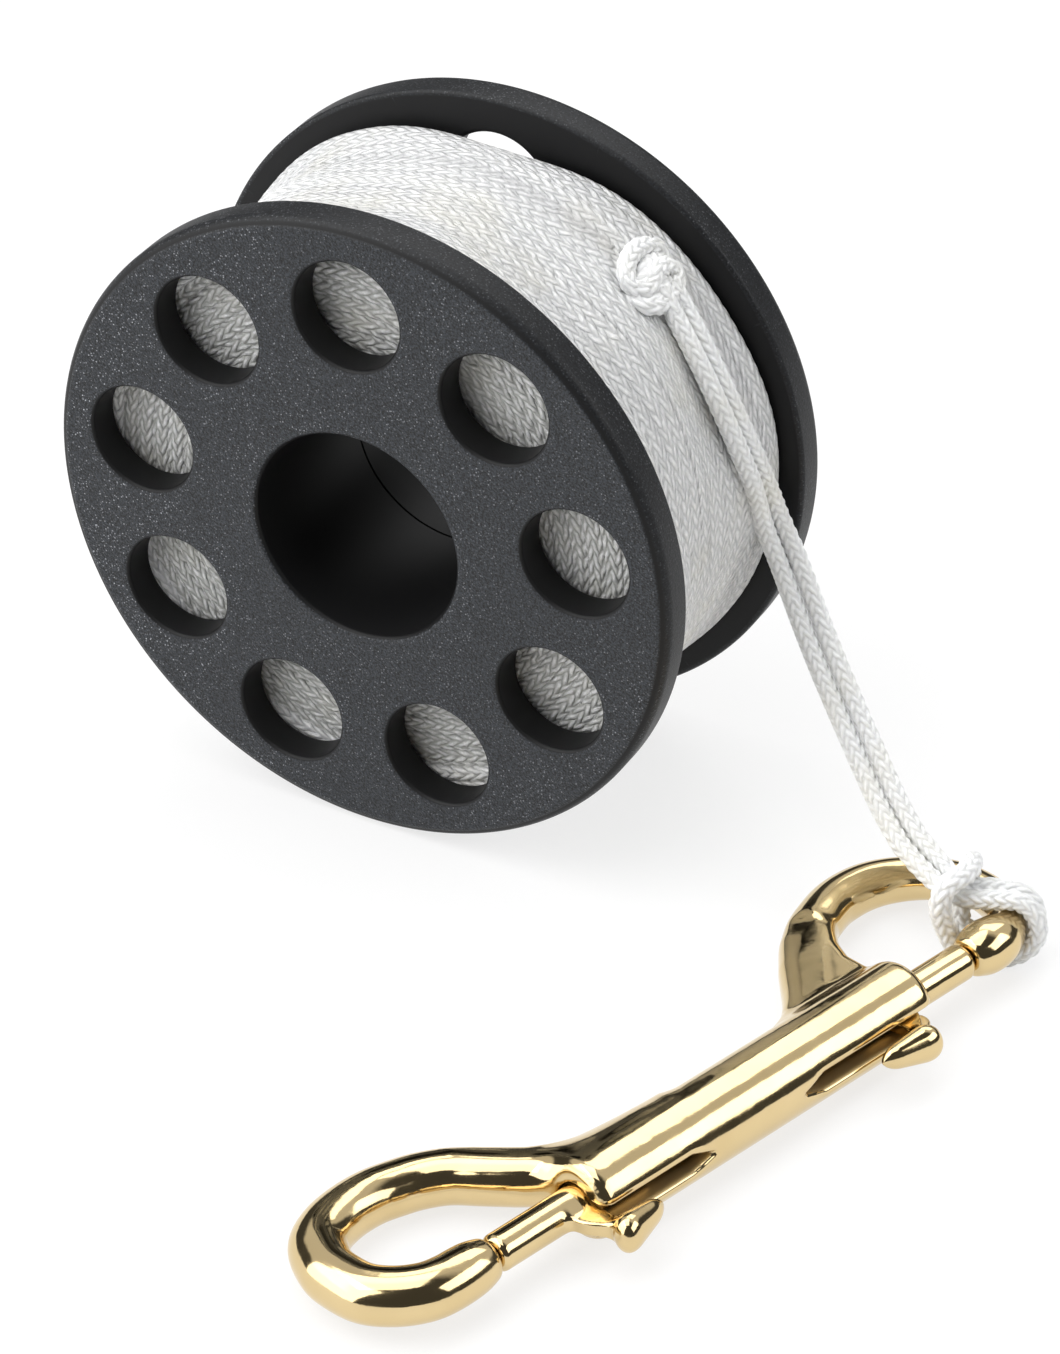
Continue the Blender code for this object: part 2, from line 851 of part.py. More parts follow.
def make_spring(name, side, parts, snap_frame, material):
    """The coil between the barrel's divider and a closed bolt."""
    wire = spring_wire_diameter / 2
    near = divider_thickness / 2 + seat_gap + wire
    far = bolt_inner() - seat_gap - wire
    coil_radius = bolt_radius - wire
    count = spring_coils * spring_points
    angle = np.arange(count + 1) * math.tau / spring_points
    along = np.linspace(near, far, count + 1)
    path = np.column_stack([side * along, coil_radius * np.cos(angle), coil_radius * np.sin(angle)])
    gap = least_gap(path, spring_wire_diameter, spring_points // 2)
    print(f"{name}: least gap to itself {gap * 1000:.2f} mm")
    return tube(name, path, [wire] * len(path), wire_roundness, parts, snap_frame, material)


# Putting it together


def world_corners(pieces):
    """Lowest and highest corners of the evaluated pieces."""
    bpy.context.view_layer.update()
    graph = bpy.context.evaluated_depsgraph_get()
    low = np.full(3, math.inf)
    high = np.full(3, -math.inf)
    for piece in pieces:
        evaluated = piece.evaluated_get(graph)
        mesh = evaluated.to_mesh()
        points = np.empty(len(mesh.vertices) * 3, np.float32)
        mesh.vertices.foreach_get("co", points)
        evaluated.to_mesh_clear()
        world = np.array(evaluated.matrix_world)
        points = points.reshape(-1, 3) @ world[:3, :3].T + world[:3, 3]
        low = np.minimum(low, points.min(axis=0))
        high = np.maximum(high, points.max(axis=0))
    return low, high


def build():
    clear_scene()
    parts = new_collection("finger_spool")
    cutters = new_collection("cutters")
    plastic = new_material("moulded_black_plastic", (0.025, 0.026, 0.029), 0.5, 0.0)
    nylon = new_material("braided_white_nylon", (0.80, 0.81, 0.82), 0.6, 0.0)
    brass = new_material("polished_brass", (0.80, 0.60, 0.25), 0.18, 1.0)
    steel = new_material("spring_steel", (0.45, 0.45, 0.46), 0.35, 1.0)

    placing = add_empty("placing", parts)
    spool_frame = add_empty("spool_frame", parts, placing, location=(0, 0, flange_radius))
    snap_frame = add_empty(
        "snap_frame",
        parts,
        placing,
        location=(snap_place_x, snap_place_y, barrel_radius),
        turn=(-snap_roll(), 0, snap_turn),
    )
    bpy.context.view_layer.update()
    snap_to_spool = spool_frame.matrix_world.inverted() @ snap_frame.matrix_world

    made = make_spool(parts, cutters, spool_frame, plastic)
    made.append(make_line_core(parts, spool_frame, nylon))
    made.append(make_winding(parts, spool_frame, nylon))
    made.append(make_knot(parts, cutters, spool_frame, nylon))
    made.append(make_snap_body(parts, cutters, snap_frame, brass))
    made.append(make_bolt("bolt_tied_hook", 1, parts, cutters, snap_frame, brass))
    made.append(make_bolt("bolt_free_hook", -1, parts, cutters, snap_frame, brass))
    made.append(make_spring("spring_tied_hook", 1, parts, snap_frame, steel))
    made.append(make_spring("spring_free_hook", -1, parts, snap_frame, steel))
    low, high = world_corners(made)
    placing.location = (-(low[0] + high[0]) / 2, -(low[1] + high[1]) / 2, -low[2])
    make_end_loop(parts, spool_frame, snap_to_spool, nylon)
    bpy.context.view_layer.update()
    print("spool middle", [round(value, 5) for value in spool_frame.matrix_world.translation])
    print("snap middle", [round(value, 5) for value in snap_frame.matrix_world.translation])


build()
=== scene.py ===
"""Looks of the finger spool: its moulded spool, its wound line and its double-ended bolt snap.

Lengths are in metres, apart from the snap's sections, which are worked out in millimetres in the
snap's own frame. The spool's axis lies along Y with the front flange at -Y, and Z is up.
"""

import math

import bpy
import numpy as np
from mathutils import Matrix, Vector


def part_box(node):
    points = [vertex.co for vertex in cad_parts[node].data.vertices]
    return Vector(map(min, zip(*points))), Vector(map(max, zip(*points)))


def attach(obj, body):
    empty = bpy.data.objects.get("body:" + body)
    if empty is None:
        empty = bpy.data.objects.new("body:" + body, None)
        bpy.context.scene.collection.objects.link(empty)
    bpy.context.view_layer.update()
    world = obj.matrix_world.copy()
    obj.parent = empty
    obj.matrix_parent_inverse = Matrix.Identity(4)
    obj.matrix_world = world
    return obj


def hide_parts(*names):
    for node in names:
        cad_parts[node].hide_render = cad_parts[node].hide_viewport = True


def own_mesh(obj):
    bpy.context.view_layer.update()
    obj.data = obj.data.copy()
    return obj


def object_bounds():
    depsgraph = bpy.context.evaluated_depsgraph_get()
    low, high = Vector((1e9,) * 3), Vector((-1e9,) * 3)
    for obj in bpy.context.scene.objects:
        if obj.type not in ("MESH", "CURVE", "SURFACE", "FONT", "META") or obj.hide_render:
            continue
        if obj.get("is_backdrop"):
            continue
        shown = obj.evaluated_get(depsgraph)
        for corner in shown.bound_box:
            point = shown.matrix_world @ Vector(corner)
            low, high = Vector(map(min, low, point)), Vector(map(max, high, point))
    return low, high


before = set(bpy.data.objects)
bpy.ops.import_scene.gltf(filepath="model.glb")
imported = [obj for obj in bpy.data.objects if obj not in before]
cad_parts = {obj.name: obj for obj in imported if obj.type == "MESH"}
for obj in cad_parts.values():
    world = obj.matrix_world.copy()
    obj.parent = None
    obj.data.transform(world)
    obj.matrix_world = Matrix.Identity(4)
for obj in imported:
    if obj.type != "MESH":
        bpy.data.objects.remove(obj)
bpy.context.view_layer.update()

mm = 0.001
spool_body = "spool_and_snap"

# Camera: where the photograph was taken from, a little above the object and to its right. The
# lens is the one whose picture has the photograph's perspective on a 36 mm long side.

camera_place = (0.20903, -0.35433, 0.32860)
camera_right = (0.8750, 0.4840, 0.0)
camera_up = (-0.2780, 0.5030, 0.8180)
camera_back = (0.3960, -0.7160, 0.5750)
camera_lens = 123.08
film_width_mm = 36


def new_object(name, data):
    """An object of that data, put in the scene."""
    made = bpy.data.objects.new(name, data)
    bpy.context.scene.collection.objects.link(made)
    return made


camera_data = bpy.data.cameras.new("camera")
camera_data.lens = camera_lens
camera_data.sensor_width = film_width_mm
camera_data.clip_start = 0.01
camera = new_object("camera", camera_data)
turned = Matrix((camera_right, camera_up, camera_back)).transposed().to_4x4()
camera.matrix_world = Matrix.Translation(camera_place) @ turned
bpy.context.scene.camera = camera

# Spool halves: two injection mouldings in black polypropylene, a flange with nine holes and half
# of the hub on each. The spigot of the front half is pressed into the rear one.

flange_radius = 0.0400
half_width = 0.01925
flange_thickness = 0.0047
rim_fillet = 0.0014
rim_inner_fillet = 0.0005
bore_radius = 0.0131
bore_fillet = 0.0007
hub_radius = 0.0161
hub_fillet = 0.0008
spigot_radius = 0.01445
spigot_length = 0.0033
seat_gap = 0.0003
hole_count = 9
hole_radius = 0.0067
hole_circle_radius = 0.02875
hole_fillet = 0.0006
first_hole_angle = math.radians(91)
# The rim's share of the grain and of the painted glints that the outer face has
rim_grain_and_glint_share = 0.32
# Steps along the edges of one hole's ninth of a face
side_steps, outer_steps, inner_steps = 20, 28, 16
inner_half_width = half_width - flange_thickness

spool_low, spool_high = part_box("spool_half_front")
spool_middle = np.array(
    [(spool_low.x + spool_high.x) / 2, spool_low.y + half_width, (spool_low.z + spool_high.z) / 2]
)


def colour(text):
    """Linear red, green, blue and alpha of an sRGB colour written as six hex digits."""
    share = np.array([int(text[at : at + 2], 16) for at in (1, 3, 5)]) / 255
    linear = np.where(share <= 0.04045, share / 12.92, ((share + 0.055) / 1.055) ** 2.4)
    return (*linear, 1.0)


def add_node(tree, kind, inputs=None, **settings):
    """A node of that kind with its settings. An input takes a value or another node's output."""
    node = tree.nodes.new(kind)
    for name, value in settings.items():
        setattr(node, name, value)
    for place, value in (inputs or {}).items():
        if isinstance(value, bpy.types.NodeSocket):
            tree.links.new(value, node.inputs[place])
        else:
            node.inputs[place].default_value = value
    return node


def new_material(name, **shader_values):
    """A material, its tree and its shader, whose sockets take the given values."""
    made = bpy.data.materials.new(name)
    made.use_nodes = True
    tree = made.node_tree
    shader = tree.nodes["Principled BSDF"]
    for place, value in shader_values.items():
        shader.inputs[place.replace("_", " ")].default_value = value
    return made, tree, shader


def maths(tree, operation, first, second=0.0):
    """The result of one operation on two numbers or outputs."""
    return add_node(tree, "ShaderNodeMath", {0: first, 1: second}, operation=operation).outputs[0]


def on_object(tree):
    """The place in the object's own frame, in metres."""
    return add_node(tree, "ShaderNodeTexCoord").outputs["Object"]


def ramp(tree, value, low, high, first=0.0, last=1.0):
    """first to last as a value goes from low to high, and no further."""
    inputs = {"Value": value, "From Min": low, "From Max": high, "To Min": first, "To Max": last}
    return add_node(tree, "ShaderNodeMapRange", inputs).outputs["Result"]


def blend(tree, share, first, second, kind="RGBA"):
    """first to second as a share goes from 0 to 1. Both are colours, or numbers of kind FLOAT."""
    inputs = {"Factor": share, "A": first, "B": second}
    return add_node(tree, "ShaderNodeMix", inputs, data_type=kind).outputs["Result"]


def noise(tree, place, scale, detail=2.0):
    """Smooth noise whose features are about 1 / scale metres apart."""
    inputs = {"Vector": place, "Scale": scale, "Detail": detail}
    return add_node(tree, "ShaderNodeTexNoise", inputs).outputs["Fac"]


def roughen(tree, shader, height, strength, distance):
    """Bends the shader's normals as a relief does whose height 1 stands out by the distance."""
    inputs = {"Height": height, "Strength": strength, "Distance": distance}
    bump = add_node(tree, "ShaderNodeBump", inputs)
    tree.links.new(bump.outputs["Normal"], shader.inputs["Normal"])


def new_piece(name, points, faces, material, slot, lines=None, finish=None):
    """A smooth mesh of these points, riding with the spool. faces is a list of arrays, one row of
    corners to a face. lines gives each corner its length along a line and its place round it,
    and finish gives each point a share, 0 as cast and 1 polished or grained.
    """
    mesh = bpy.data.meshes.new(name)
    corners = np.concatenate([block.ravel() for block in faces]).astype(np.int32)
    sizes = np.concatenate([np.full(len(block), block.shape[1]) for block in faces])
    starts = np.concatenate([[0], np.cumsum(sizes)[:-1]]).astype(np.int32)
    mesh.vertices.add(len(points))
    mesh.vertices.foreach_set("co", np.asarray(points, np.float32).ravel())
    mesh.loops.add(len(corners))
    mesh.loops.foreach_set("vertex_index", corners)
    mesh.polygons.add(len(starts))
    mesh.polygons.foreach_set("loop_start", starts)
    mesh.update(calc_edges=True)
    mesh.shade_smooth()
    if lines is not None:
        layer = mesh.uv_layers.new(name="line")
        layer.uv.foreach_set("vector", np.concatenate(lines).astype(np.float32).ravel())
    # For the plastic, finish also places the painted glints, and where it is 0 a darker colour that
    # is partly painted shade
    if finish is not None:
        layer = mesh.attributes.new("finish", "FLOAT", "POINT")
        layer.data.foreach_set("value", finish.astype(np.float32))
    mesh.materials.append(material)
    made = new_object(name, mesh)
    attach(made, spool_body)
    return made


def strip_faces(rows, columns, wraps):
    """Quads over a grid of points, row after row, whose last column may join its first."""
    count = columns if wraps else columns - 1
    row, column = np.meshgrid(np.arange(rows - 1), np.arange(count), indexing="ij")
    beside = (column + 1) % columns
    first = row * columns
    quads = [first + column, first + beside, first + columns + beside, first + columns + column]
    return np.stack(quads, axis=-1).reshape(-1, 4)


def corner_arc(across, along, radius, first_degrees, last_degrees, count=7):
    """Points of a rounded corner about (across, along), both ends included."""
    angles = np.radians(np.linspace(first_degrees, last_degrees, count))
    return np.column_stack([across + radius * np.cos(angles), along + radius * np.sin(angles)])


def joined(sheets):
    """Points and quads of one closed skin from sheets whose edges meet: the formula puts the
    shared points at the same places, so merging them closes it.
    """
    points = np.concatenate([sheet[0] for sheet in sheets])
    starts = np.cumsum([0] + [len(sheet[0]) for sheet in sheets[:-1]])
    quads = np.concatenate([sheet[1] + start for sheet, start in zip(sheets, starts)])
    keys = np.round(points / (0.002 * mm)).astype(np.int64)
    _, kept, owner = np.unique(keys, axis=0, return_index=True, return_inverse=True)
    return points[kept], owner.reshape(-1)[quads]


def sector_outline(inner, outer):
    """Edge of one hole's ninth of a flange face, round the hole: out along one side, across the
    outer arc, in along the other side and back across the inner arc. Each side has the same
    radii, so neighbouring ninths meet.
    """
    half = math.pi / hole_count
    out = np.linspace(inner, outer, side_steps, endpoint=False)
    back = out[::-1] + out[1] - out[0]
    out_arc = np.linspace(-half, half, outer_steps, endpoint=False)
    in_arc = np.linspace(half, -half, inner_steps, endpoint=False)
    radii = np.concatenate([out, np.full(outer_steps, outer), back, np.full(inner_steps, inner)])
    angles = np.concatenate([np.full(side_steps, -half), out_arc, np.full(side_steps, half), in_arc])
    return np.column_stack([radii * np.cos(angles), radii * np.sin(angles)])


def unit(rows):
    """Each row divided by its length."""
    return rows / np.linalg.norm(rows, axis=1)[:, None]


def turned_points(profile, angles, from_axis=0.0):
    """Points (across, upward, height) of a profile of (radius, height) points, one row after
    another, turned to each angle about a line that stands that far from the axis.
    """
    across = from_axis + profile[:, :1] * np.cos(angles)
    upward = profile[:, :1] * np.sin(angles)
    height = np.broadcast_to(profile[:, 1:], across.shape)
    return np.stack([across, upward, height], axis=-1).reshape(-1, 3)


def at_each_hole(points, quads):
    """The sheet of one ninth, whose hole is on +X, turned to each of the holes."""
    sheets = []
    for number in range(hole_count):
        angle = first_hole_angle + number * math.tau / hole_count
        turn = np.eye(3)
        turn[:2, :2] = [[math.cos(angle), math.sin(angle)], [-math.sin(angle), math.cos(angle)]]
        sheets.append((points @ turn, quads))
    return sheets


def flange_face(height, inner, outer):
    """Sheet of a flange face with its holes, at a height from mid-width: for each hole, straight
    lines run from the hole's edge to the ninth's outline, in the hole's own directions.
    """
    outline = sector_outline(inner, outer)
    centre = np.array([hole_circle_radius, 0])
    edge = centre + unit(outline - centre) * (hole_radius + hole_fillet)
    shares = np.array([0, 0.03, 0.5, 0.97, 1])[:, None, None]
    flat = (edge * (1 - shares) + outline * shares).reshape(-1, 2)
    points = np.column_stack([flat, np.full(len(flat), height)])
    return at_each_hole(points, strip_faces(len(shares), len(outline), True))


def hole_walls():
    """Sheet down each hole, from one flange face round a fillet to the other."""
    outline = sector_outline(bore_radius + bore_fillet, flange_radius - rim_fillet)
    inside = sector_outline(hub_radius + hub_fillet, flange_radius - rim_inner_fillet)
    flared = hole_radius + hole_fillet
    top = corner_arc(flared, half_width - hole_fillet, hole_fillet, 90, 180, 6)
    low = corner_arc(flared, inner_half_width + hole_fillet, hole_fillet, 180, 270, 6)
    profile = np.vstack([top, low])
    share = np.linspace(0, 1, len(profile))[:, None]
    bearings = []
    for found in (outline, inside):
        away = found - np.array([hole_circle_radius, 0])
        bearings.append(np.unwrap(np.arctan2(away[:, 1], away[:, 0])))
    bearing = bearings[0] * (1 - share) + bearings[1] * share
    points = turned_points(profile, bearing, hole_circle_radius)
    return at_each_hole(points, strip_faces(len(profile), len(outline), True)[:, ::-1])


def edge_angles(inner, outer, radius):
    """Angles at which the face's outline meets that radius, all the way round the spool."""
    outline = sector_outline(inner, outer)
    half = math.pi / hole_count
    at = np.isclose(np.hypot(*outline.T), radius)
    angles = np.sort(np.arctan2(outline[at, 1], outline[at, 0]))
    angles = angles[angles < half - 1e-6]
    turns = first_hole_angle + np.arange(hole_count)[:, None] * math.tau / hole_count
    return (turns + angles).ravel()


def spool_half(name, side, is_spigot, material):
    """A flange and half of the hub. side is -1 for the front half and 1 for the rear one."""
    outer = flange_radius - rim_fillet
    back_outer = flange_radius - rim_inner_fillet
    face_inner = bore_radius + bore_fillet
    back_inner = hub_radius + hub_fillet
    rim = np.vstack(
        [
            corner_arc(outer, half_width - rim_fillet, rim_fillet, 90, 0, 9),
            corner_arc(back_outer, inner_half_width + rim_inner_fillet, rim_inner_fillet, 0, -90, 9),
        ]
    )
    mouth = corner_arc(face_inner, half_width - bore_fillet, bore_fillet, 90, 180)
    root = corner_arc(back_inner, inner_half_width - hub_fillet, hub_fillet, 90, 180)
    if is_spigot:
        end_radius, end_height = spigot_radius, -spigot_length
    else:
        end_radius, end_height = spigot_radius + seat_gap, spigot_length + seat_gap
    end = [
        (hub_radius, seat_gap / 2),
        (end_radius, seat_gap / 2),
        (end_radius, end_height),
        (bore_radius, end_height),
    ]
    back = flange_face(inner_half_width, back_inner, back_outer)
    sheets = [
        *flange_face(half_width, face_inner, outer),
        *[(points, quads[:, ::-1]) for points, quads in back],
        *hole_walls(),
    ]
    rim_angles = edge_angles(face_inner, outer, outer)
    mouth_angles = edge_angles(face_inner, outer, face_inner)
    hub = np.vstack([root, end, mouth[::-1]])
    for profile, angles in ((rim, rim_angles), (hub, mouth_angles)):
        quads = strip_faces(len(profile), len(angles), True)
        sheets.append((turned_points(profile, angles), quads[:, ::-1]))
    points, quads = joined(sheets)
    across, upward, height = points.T
    rim = np.hypot(across, upward) > back_outer - 0.1 * mm
    # Share of grain and painted glints at each point; at 0 the plastic takes its darker colour,
    # partly painted shade
    grained = np.where(height > half_width - 0.1 * mm, 1.0, np.where(rim, rim_grain_and_glint_share, 0.0))
    placed = np.column_stack([across, side * height, upward]) + spool_middle
    if side > 0:
        # The rear half is a mirror image of the formula's, so its faces turn the other way
        quads = quads[:, [0, 3, 2, 1]]
    made = new_piece(name, placed, [quads], material, "black_plastic", finish=grained)
    made.data.set_sharp_from_angle(angle=math.radians(50))
    return made


def moulded_plastic():
    """Black polypropylene. Outside, where the cavity was spark eroded, it has a blue cast and a
    grit of raised grains, with painted glints: pale specks on some grains stand in for the
    light they catch, more of them on the side that the front left lamp lights. Inside it is
    smooth and nearly black, painted darker than the outer face, partly as painted shade down
    the holes and the bore.
    """
    made, tree, shader = new_material("spark_eroded_polypropylene", IOR=1.49)
    place = on_object(tree)
    outside = add_node(tree, "ShaderNodeAttribute", attribute_name="finish").outputs["Fac"]
    # Grains of about 0.15 mm in cells of 0.3 mm, drawn at the size of a pixel or two; the cells place
    # the painted glints
    grain = noise(tree, place, 3800.0, 3.0)
    cells = add_node(tree, "ShaderNodeTexVoronoi", {"Vector": place, "Scale": 3200.0}).outputs
    rare = ramp(tree, cells["Color"], 0.25, 0.95)
    near = ramp(tree, cells["Distance"], 0.40, 0.14)
    # More painted glints on the side away from the snap, which the front left lamp lights, in patches
    # of a centimetre or two
    side = add_node(tree, "ShaderNodeSeparateXYZ", {"Vector": place}).outputs["X"]
    lamp_lit_side = ramp(tree, side, -0.062, -0.015, 1.0, 0.45)
    cloud = ramp(tree, noise(tree, place, 60.0, 5.0), 0.36, 0.66, 0.25, 1.0)
    shown = outside
    for share in (rare, near, cloud, lamp_lit_side):
        shown = maths(tree, "MULTIPLY", shown, share)
    worn = blend(tree, ramp(tree, grain, 0.36, 0.66), colour("#060708"), colour("#30343a"))
    # Where finish is 0, on the hole walls, the inner faces, the hub and the bore, the colour is
    # darker: the smooth moulding's own, and in part painted shade down the holes and the bore
    base = blend(tree, outside, colour("#131314"), worn)
    # Painted highlights: the glints' pale colour is put into the base colour
    tree.links.new(blend(tree, shown, base, colour("#e4e7ee")), shader.inputs["Base Color"])
    tree.links.new(ramp(tree, outside, 0.0, 1.0, 0.50, 0.38), shader.inputs["Roughness"])
    gloss = ramp(tree, outside, 0.0, 1.0, 0.26, 0.36)
    tree.links.new(gloss, shader.inputs["Specular IOR Level"])
    roughen(tree, shader, maths(tree, "MULTIPLY", grain, outside), 1.0, 0.14 * mm)
    return made


plastic = moulded_plastic()
for name, side, is_spigot in (("spool_half_front", -1, True), ("spool_half_rear", 1, False)):
    half = spool_half(name + "_moulding", side, is_spigot, plastic)
    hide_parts(name)

# Line inside the winding: braided nylon line of 2 mm, wound to and fro between the flanges. Its
# side turns lie in a spiral against each flange, where the flange holes show them.

# Wound line is pressed flat between its neighbours
line_width = 0.0032
line_height = 0.0020
pack_radius = 0.0358
# Columns of floats round the line, and a float's length in millimetres, pulled tight
wound_braid = (10, 1.8)
# How steeply a float falls off to its sides and towards its ends
across_crown = 3.4
along_crown = 2.4


def braid_height(lengths, strands):
    """Height of the braid, 0 to 1. Two sets of stripes wind opposite ways round the line, and
    each strand passes over two of the other set and under two. A float is crowned across and
    along. lengths counts floats along the line and strands counts columns round it.
    """
    first = strands + lengths
    second = strands - lengths
    step = (np.floor(first) + np.floor(second)) % 4
    over = step < 2
    across = np.where(over, first % 1, second % 1) - 0.5
    along = (step % 2 + np.where(over, second % 1, first % 1)) / 2 - 0.5
    return (1 - across_crown * across**2) * (1 - along_crown * along**2)


def braided_nylon(name, gap, crest, deep):
    """Plaited white nylon: floats that lean alternate ways and a relief of so many millimetres,
    with light and shade painted in their colour: a painted highlight of the crest colour on each
    float's crest, some brighter than others, and painted shade of the gap colour round it. The
    stripes are those of braid_height, read from the line's own coordinates with a small drift, as
    soft strands never lie quite true.
    """
    made, tree, shader = new_material(name, Roughness=0.30, IOR=1.53, Subsurface_Weight=0.30)
    shader.inputs["Subsurface Radius"].default_value = (0.6 * mm, 0.6 * mm, 0.55 * mm)
    shader.inputs["Subsurface Scale"].default_value = 1.0
    line = add_node(tree, "ShaderNodeUVMap", uv_map="line").outputs["UV"]
    spot = on_object(tree)
    parts = add_node(tree, "ShaderNodeSeparateXYZ", {"Vector": line}).outputs

    def work(operation, first, second=0.0):
        """maths in this material's tree."""
        return maths(tree, operation, first, second)

    drift = work("MULTIPLY", work("SUBTRACT", noise(tree, spot, 900.0), 0.5), 0.65)
    slip = work("MULTIPLY", work("SUBTRACT", noise(tree, spot, 640.0), 0.5), 0.6)
    lengths = work("ADD", parts["X"], drift)
    strands = work("ADD", parts["Y"], slip)
    first = work("ADD", strands, lengths)
    second = work("SUBTRACT", strands, lengths)
    step = work("FLOORED_MODULO", work("ADD", work("FLOOR", first), work("FLOOR", second)), 4.0)
    over = work("LESS_THAN", step, 1.5)
    first = work("FRACT", first)
    second = work("FRACT", second)
    aside = work("SUBTRACT", blend(tree, over, second, first, "FLOAT"), 0.5)
    onward = work("ADD", work("FLOORED_MODULO", step, 2.0), blend(tree, over, first, second, "FLOAT"))
    forward = work("SUBTRACT", work("MULTIPLY", onward, 0.5), 0.5)
    across = work("SUBTRACT", 1.0, work("MULTIPLY", work("MULTIPLY", aside, aside), across_crown))
    along = work("SUBTRACT", 1.0, work("MULTIPLY", work("MULTIPLY", forward, forward), along_crown))
    height = work("MULTIPLY", across, along)
    # Filaments of a strand, drawn five to a float because the real ones are too fine to show
    filament = work("SINE", work("MULTIPLY", aside, 31.0))
    relief = work("ADD", height, work("MULTIPLY", filament, 0.05))
    # Painted light: each float's crest is coloured towards crest as a painted highlight, brighter on
    # some floats where lit is higher, and the rest towards gap as painted shade between the floats
    lit = ramp(tree, noise(tree, spot, 1500.0), 0.40, 0.60, 0.5, 1.0)
    painted_glint = work("MULTIPLY", ramp(tree, height, 0.30, 0.95), lit)
    base = blend(tree, painted_glint, colour(gap), colour(crest))
    # Ivory in slow patches a few millimetres long, placed at random
    ivory_patches = ramp(tree, noise(tree, spot, 110.0), 0.50, 0.72, 0.0, 0.4)
    tree.links.new(blend(tree, ivory_patches, base, colour("#e6e3d6")), shader.inputs["Base Color"])
    roughen(tree, shader, relief, 1.0, deep * mm)
    return made


def travelled_along(points):
    """How far each point is along the line through them."""
    steps = np.linalg.norm(np.diff(points, axis=0), axis=1)
    return np.concatenate([[0], np.cumsum(steps)])


def filled_out(wave, fullness):
    """A sine or cosine raised to the power fullness, with its sign. Below 1, a ring of such
    waves is squarer than an ellipse.
    """
    return np.sign(wave) * np.abs(wave) ** fullness


def even_turns(half_width, half_height, fullness, shares):
    """Angles at which a filled out ring's outline has come these shares of the way round."""
    turn = np.linspace(0, math.tau, 4001)
    wide = half_width * filled_out(np.cos(turn), fullness)
    high = half_height * filled_out(np.sin(turn), fullness)
    travelled = np.concatenate([[0], np.cumsum(np.hypot(np.diff(wide), np.diff(high)))])
    return np.interp(shares * travelled[-1], travelled, turn)


def tube(path, outward, half_width, half_height, sides, braid=wound_braid, relief=0.0, fullness=1.0):
    """Points, faces and line coordinates of a tube along a path. Each ring is half_height towards
    outward and half_width across, filled out by fullness. The braid, columns round and
    millimetres of a float, raises it by relief. A fan closes each end.
    """
    ahead = unit(np.gradient(path, axis=0))
    outward = unit(outward - (outward * ahead).sum(axis=1)[:, None] * ahead)
    across = np.cross(outward, ahead)
    lengths = travelled_along(path) / mm / braid[1]
    shares = np.arange(sides) / sides
    turn = even_turns(np.mean(half_width), np.mean(half_height), fullness, shares)
    lift = relief * (braid_height(lengths[:, None], braid[0] * shares[None]) - 0.6)
    wide = (half_width + lift) * filled_out(np.cos(turn), fullness)
    high = (half_height + lift) * filled_out(np.sin(turn), fullness)
    rings = path[:, None] + wide[..., None] * across[:, None] + high[..., None] * outward[:, None]
    count = len(path)
    points = np.concatenate([rings.reshape(-1, 3), path[:1], path[-1:]])
    quads = strip_faces(count, sides, True)
    row, column = np.divmod(np.arange((count - 1) * sides), sides)
    spans = np.stack([lengths[row], lengths[row], lengths[row + 1], lengths[row + 1]], axis=1)
    round_share = np.stack([column, column + 1, column + 1, column], axis=1) / sides * braid[0]
    around = np.arange(sides)
    beside = (around + 1) % sides
    last = (count - 1) * sides
    first_fan = np.stack([beside, around, np.full(sides, count * sides)], axis=1)
    last_fan = np.stack([last + around, last + beside, np.full(sides, count * sides + 1)], axis=1)
    lines = [np.stack([spans, round_share], axis=-1).reshape(-1, 2)]
    for end, order in ((0, (1, 0)), (-1, (0, 1))):
        corners = np.stack([around + order[0], around + order[1], around + 0.5], axis=1) / sides
        length = np.full(corners.shape, lengths[end])
        lines.append(np.stack([length, corners * braid[0]], axis=-1).reshape(-1, 2))
    return points, [quads, first_fan, last_fan], lines


def line_piece(name, replaced, material, *tube_values, **tube_settings):
    """A tube of line that stands for a solid of the frame."""
    points, faces, lines = tube(*tube_values, **tube_settings)
    made = new_piece(name, points, faces, material, "braided_line", lines)
    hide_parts(replaced)
    return made


def wander(angle, size, seed):
    """A slow smooth drift of about that size, from five waves whose turns and phases are drawn
    from the seed.
    """
    draw = np.random.default_rng(seed)
    waves = zip(draw.uniform(0.4, 3.4, 5), draw.uniform(0, math.tau, 5), draw.uniform(0.3, 1, 5))
    return size * sum(share * np.sin(rate * angle + phase) for rate, phase, share in waves) / 1.6


# Painted shade: the deeper a turn lies, the darker the painted shade in its gaps, as the holes shade
# the inner turns. Slack line's floats stand out less, with softer painted light.
nylon = braided_nylon("plaited_white_nylon", "#dcdddd", "#ffffff", 0.46)
shaded_inner_nylon = braided_nylon("plaited_nylon_inner_turns_painted_shade", "#c2c3bf", "#ffffff", 0.55)
slack_nylon = braided_nylon("plaited_nylon_slack", "#e8e9e9", "#f8f9f9", 0.14)

side_pitch = 0.00215
side_turns = 8
steps_per_side_turn = 430
side_turn_half_width = 0.00134
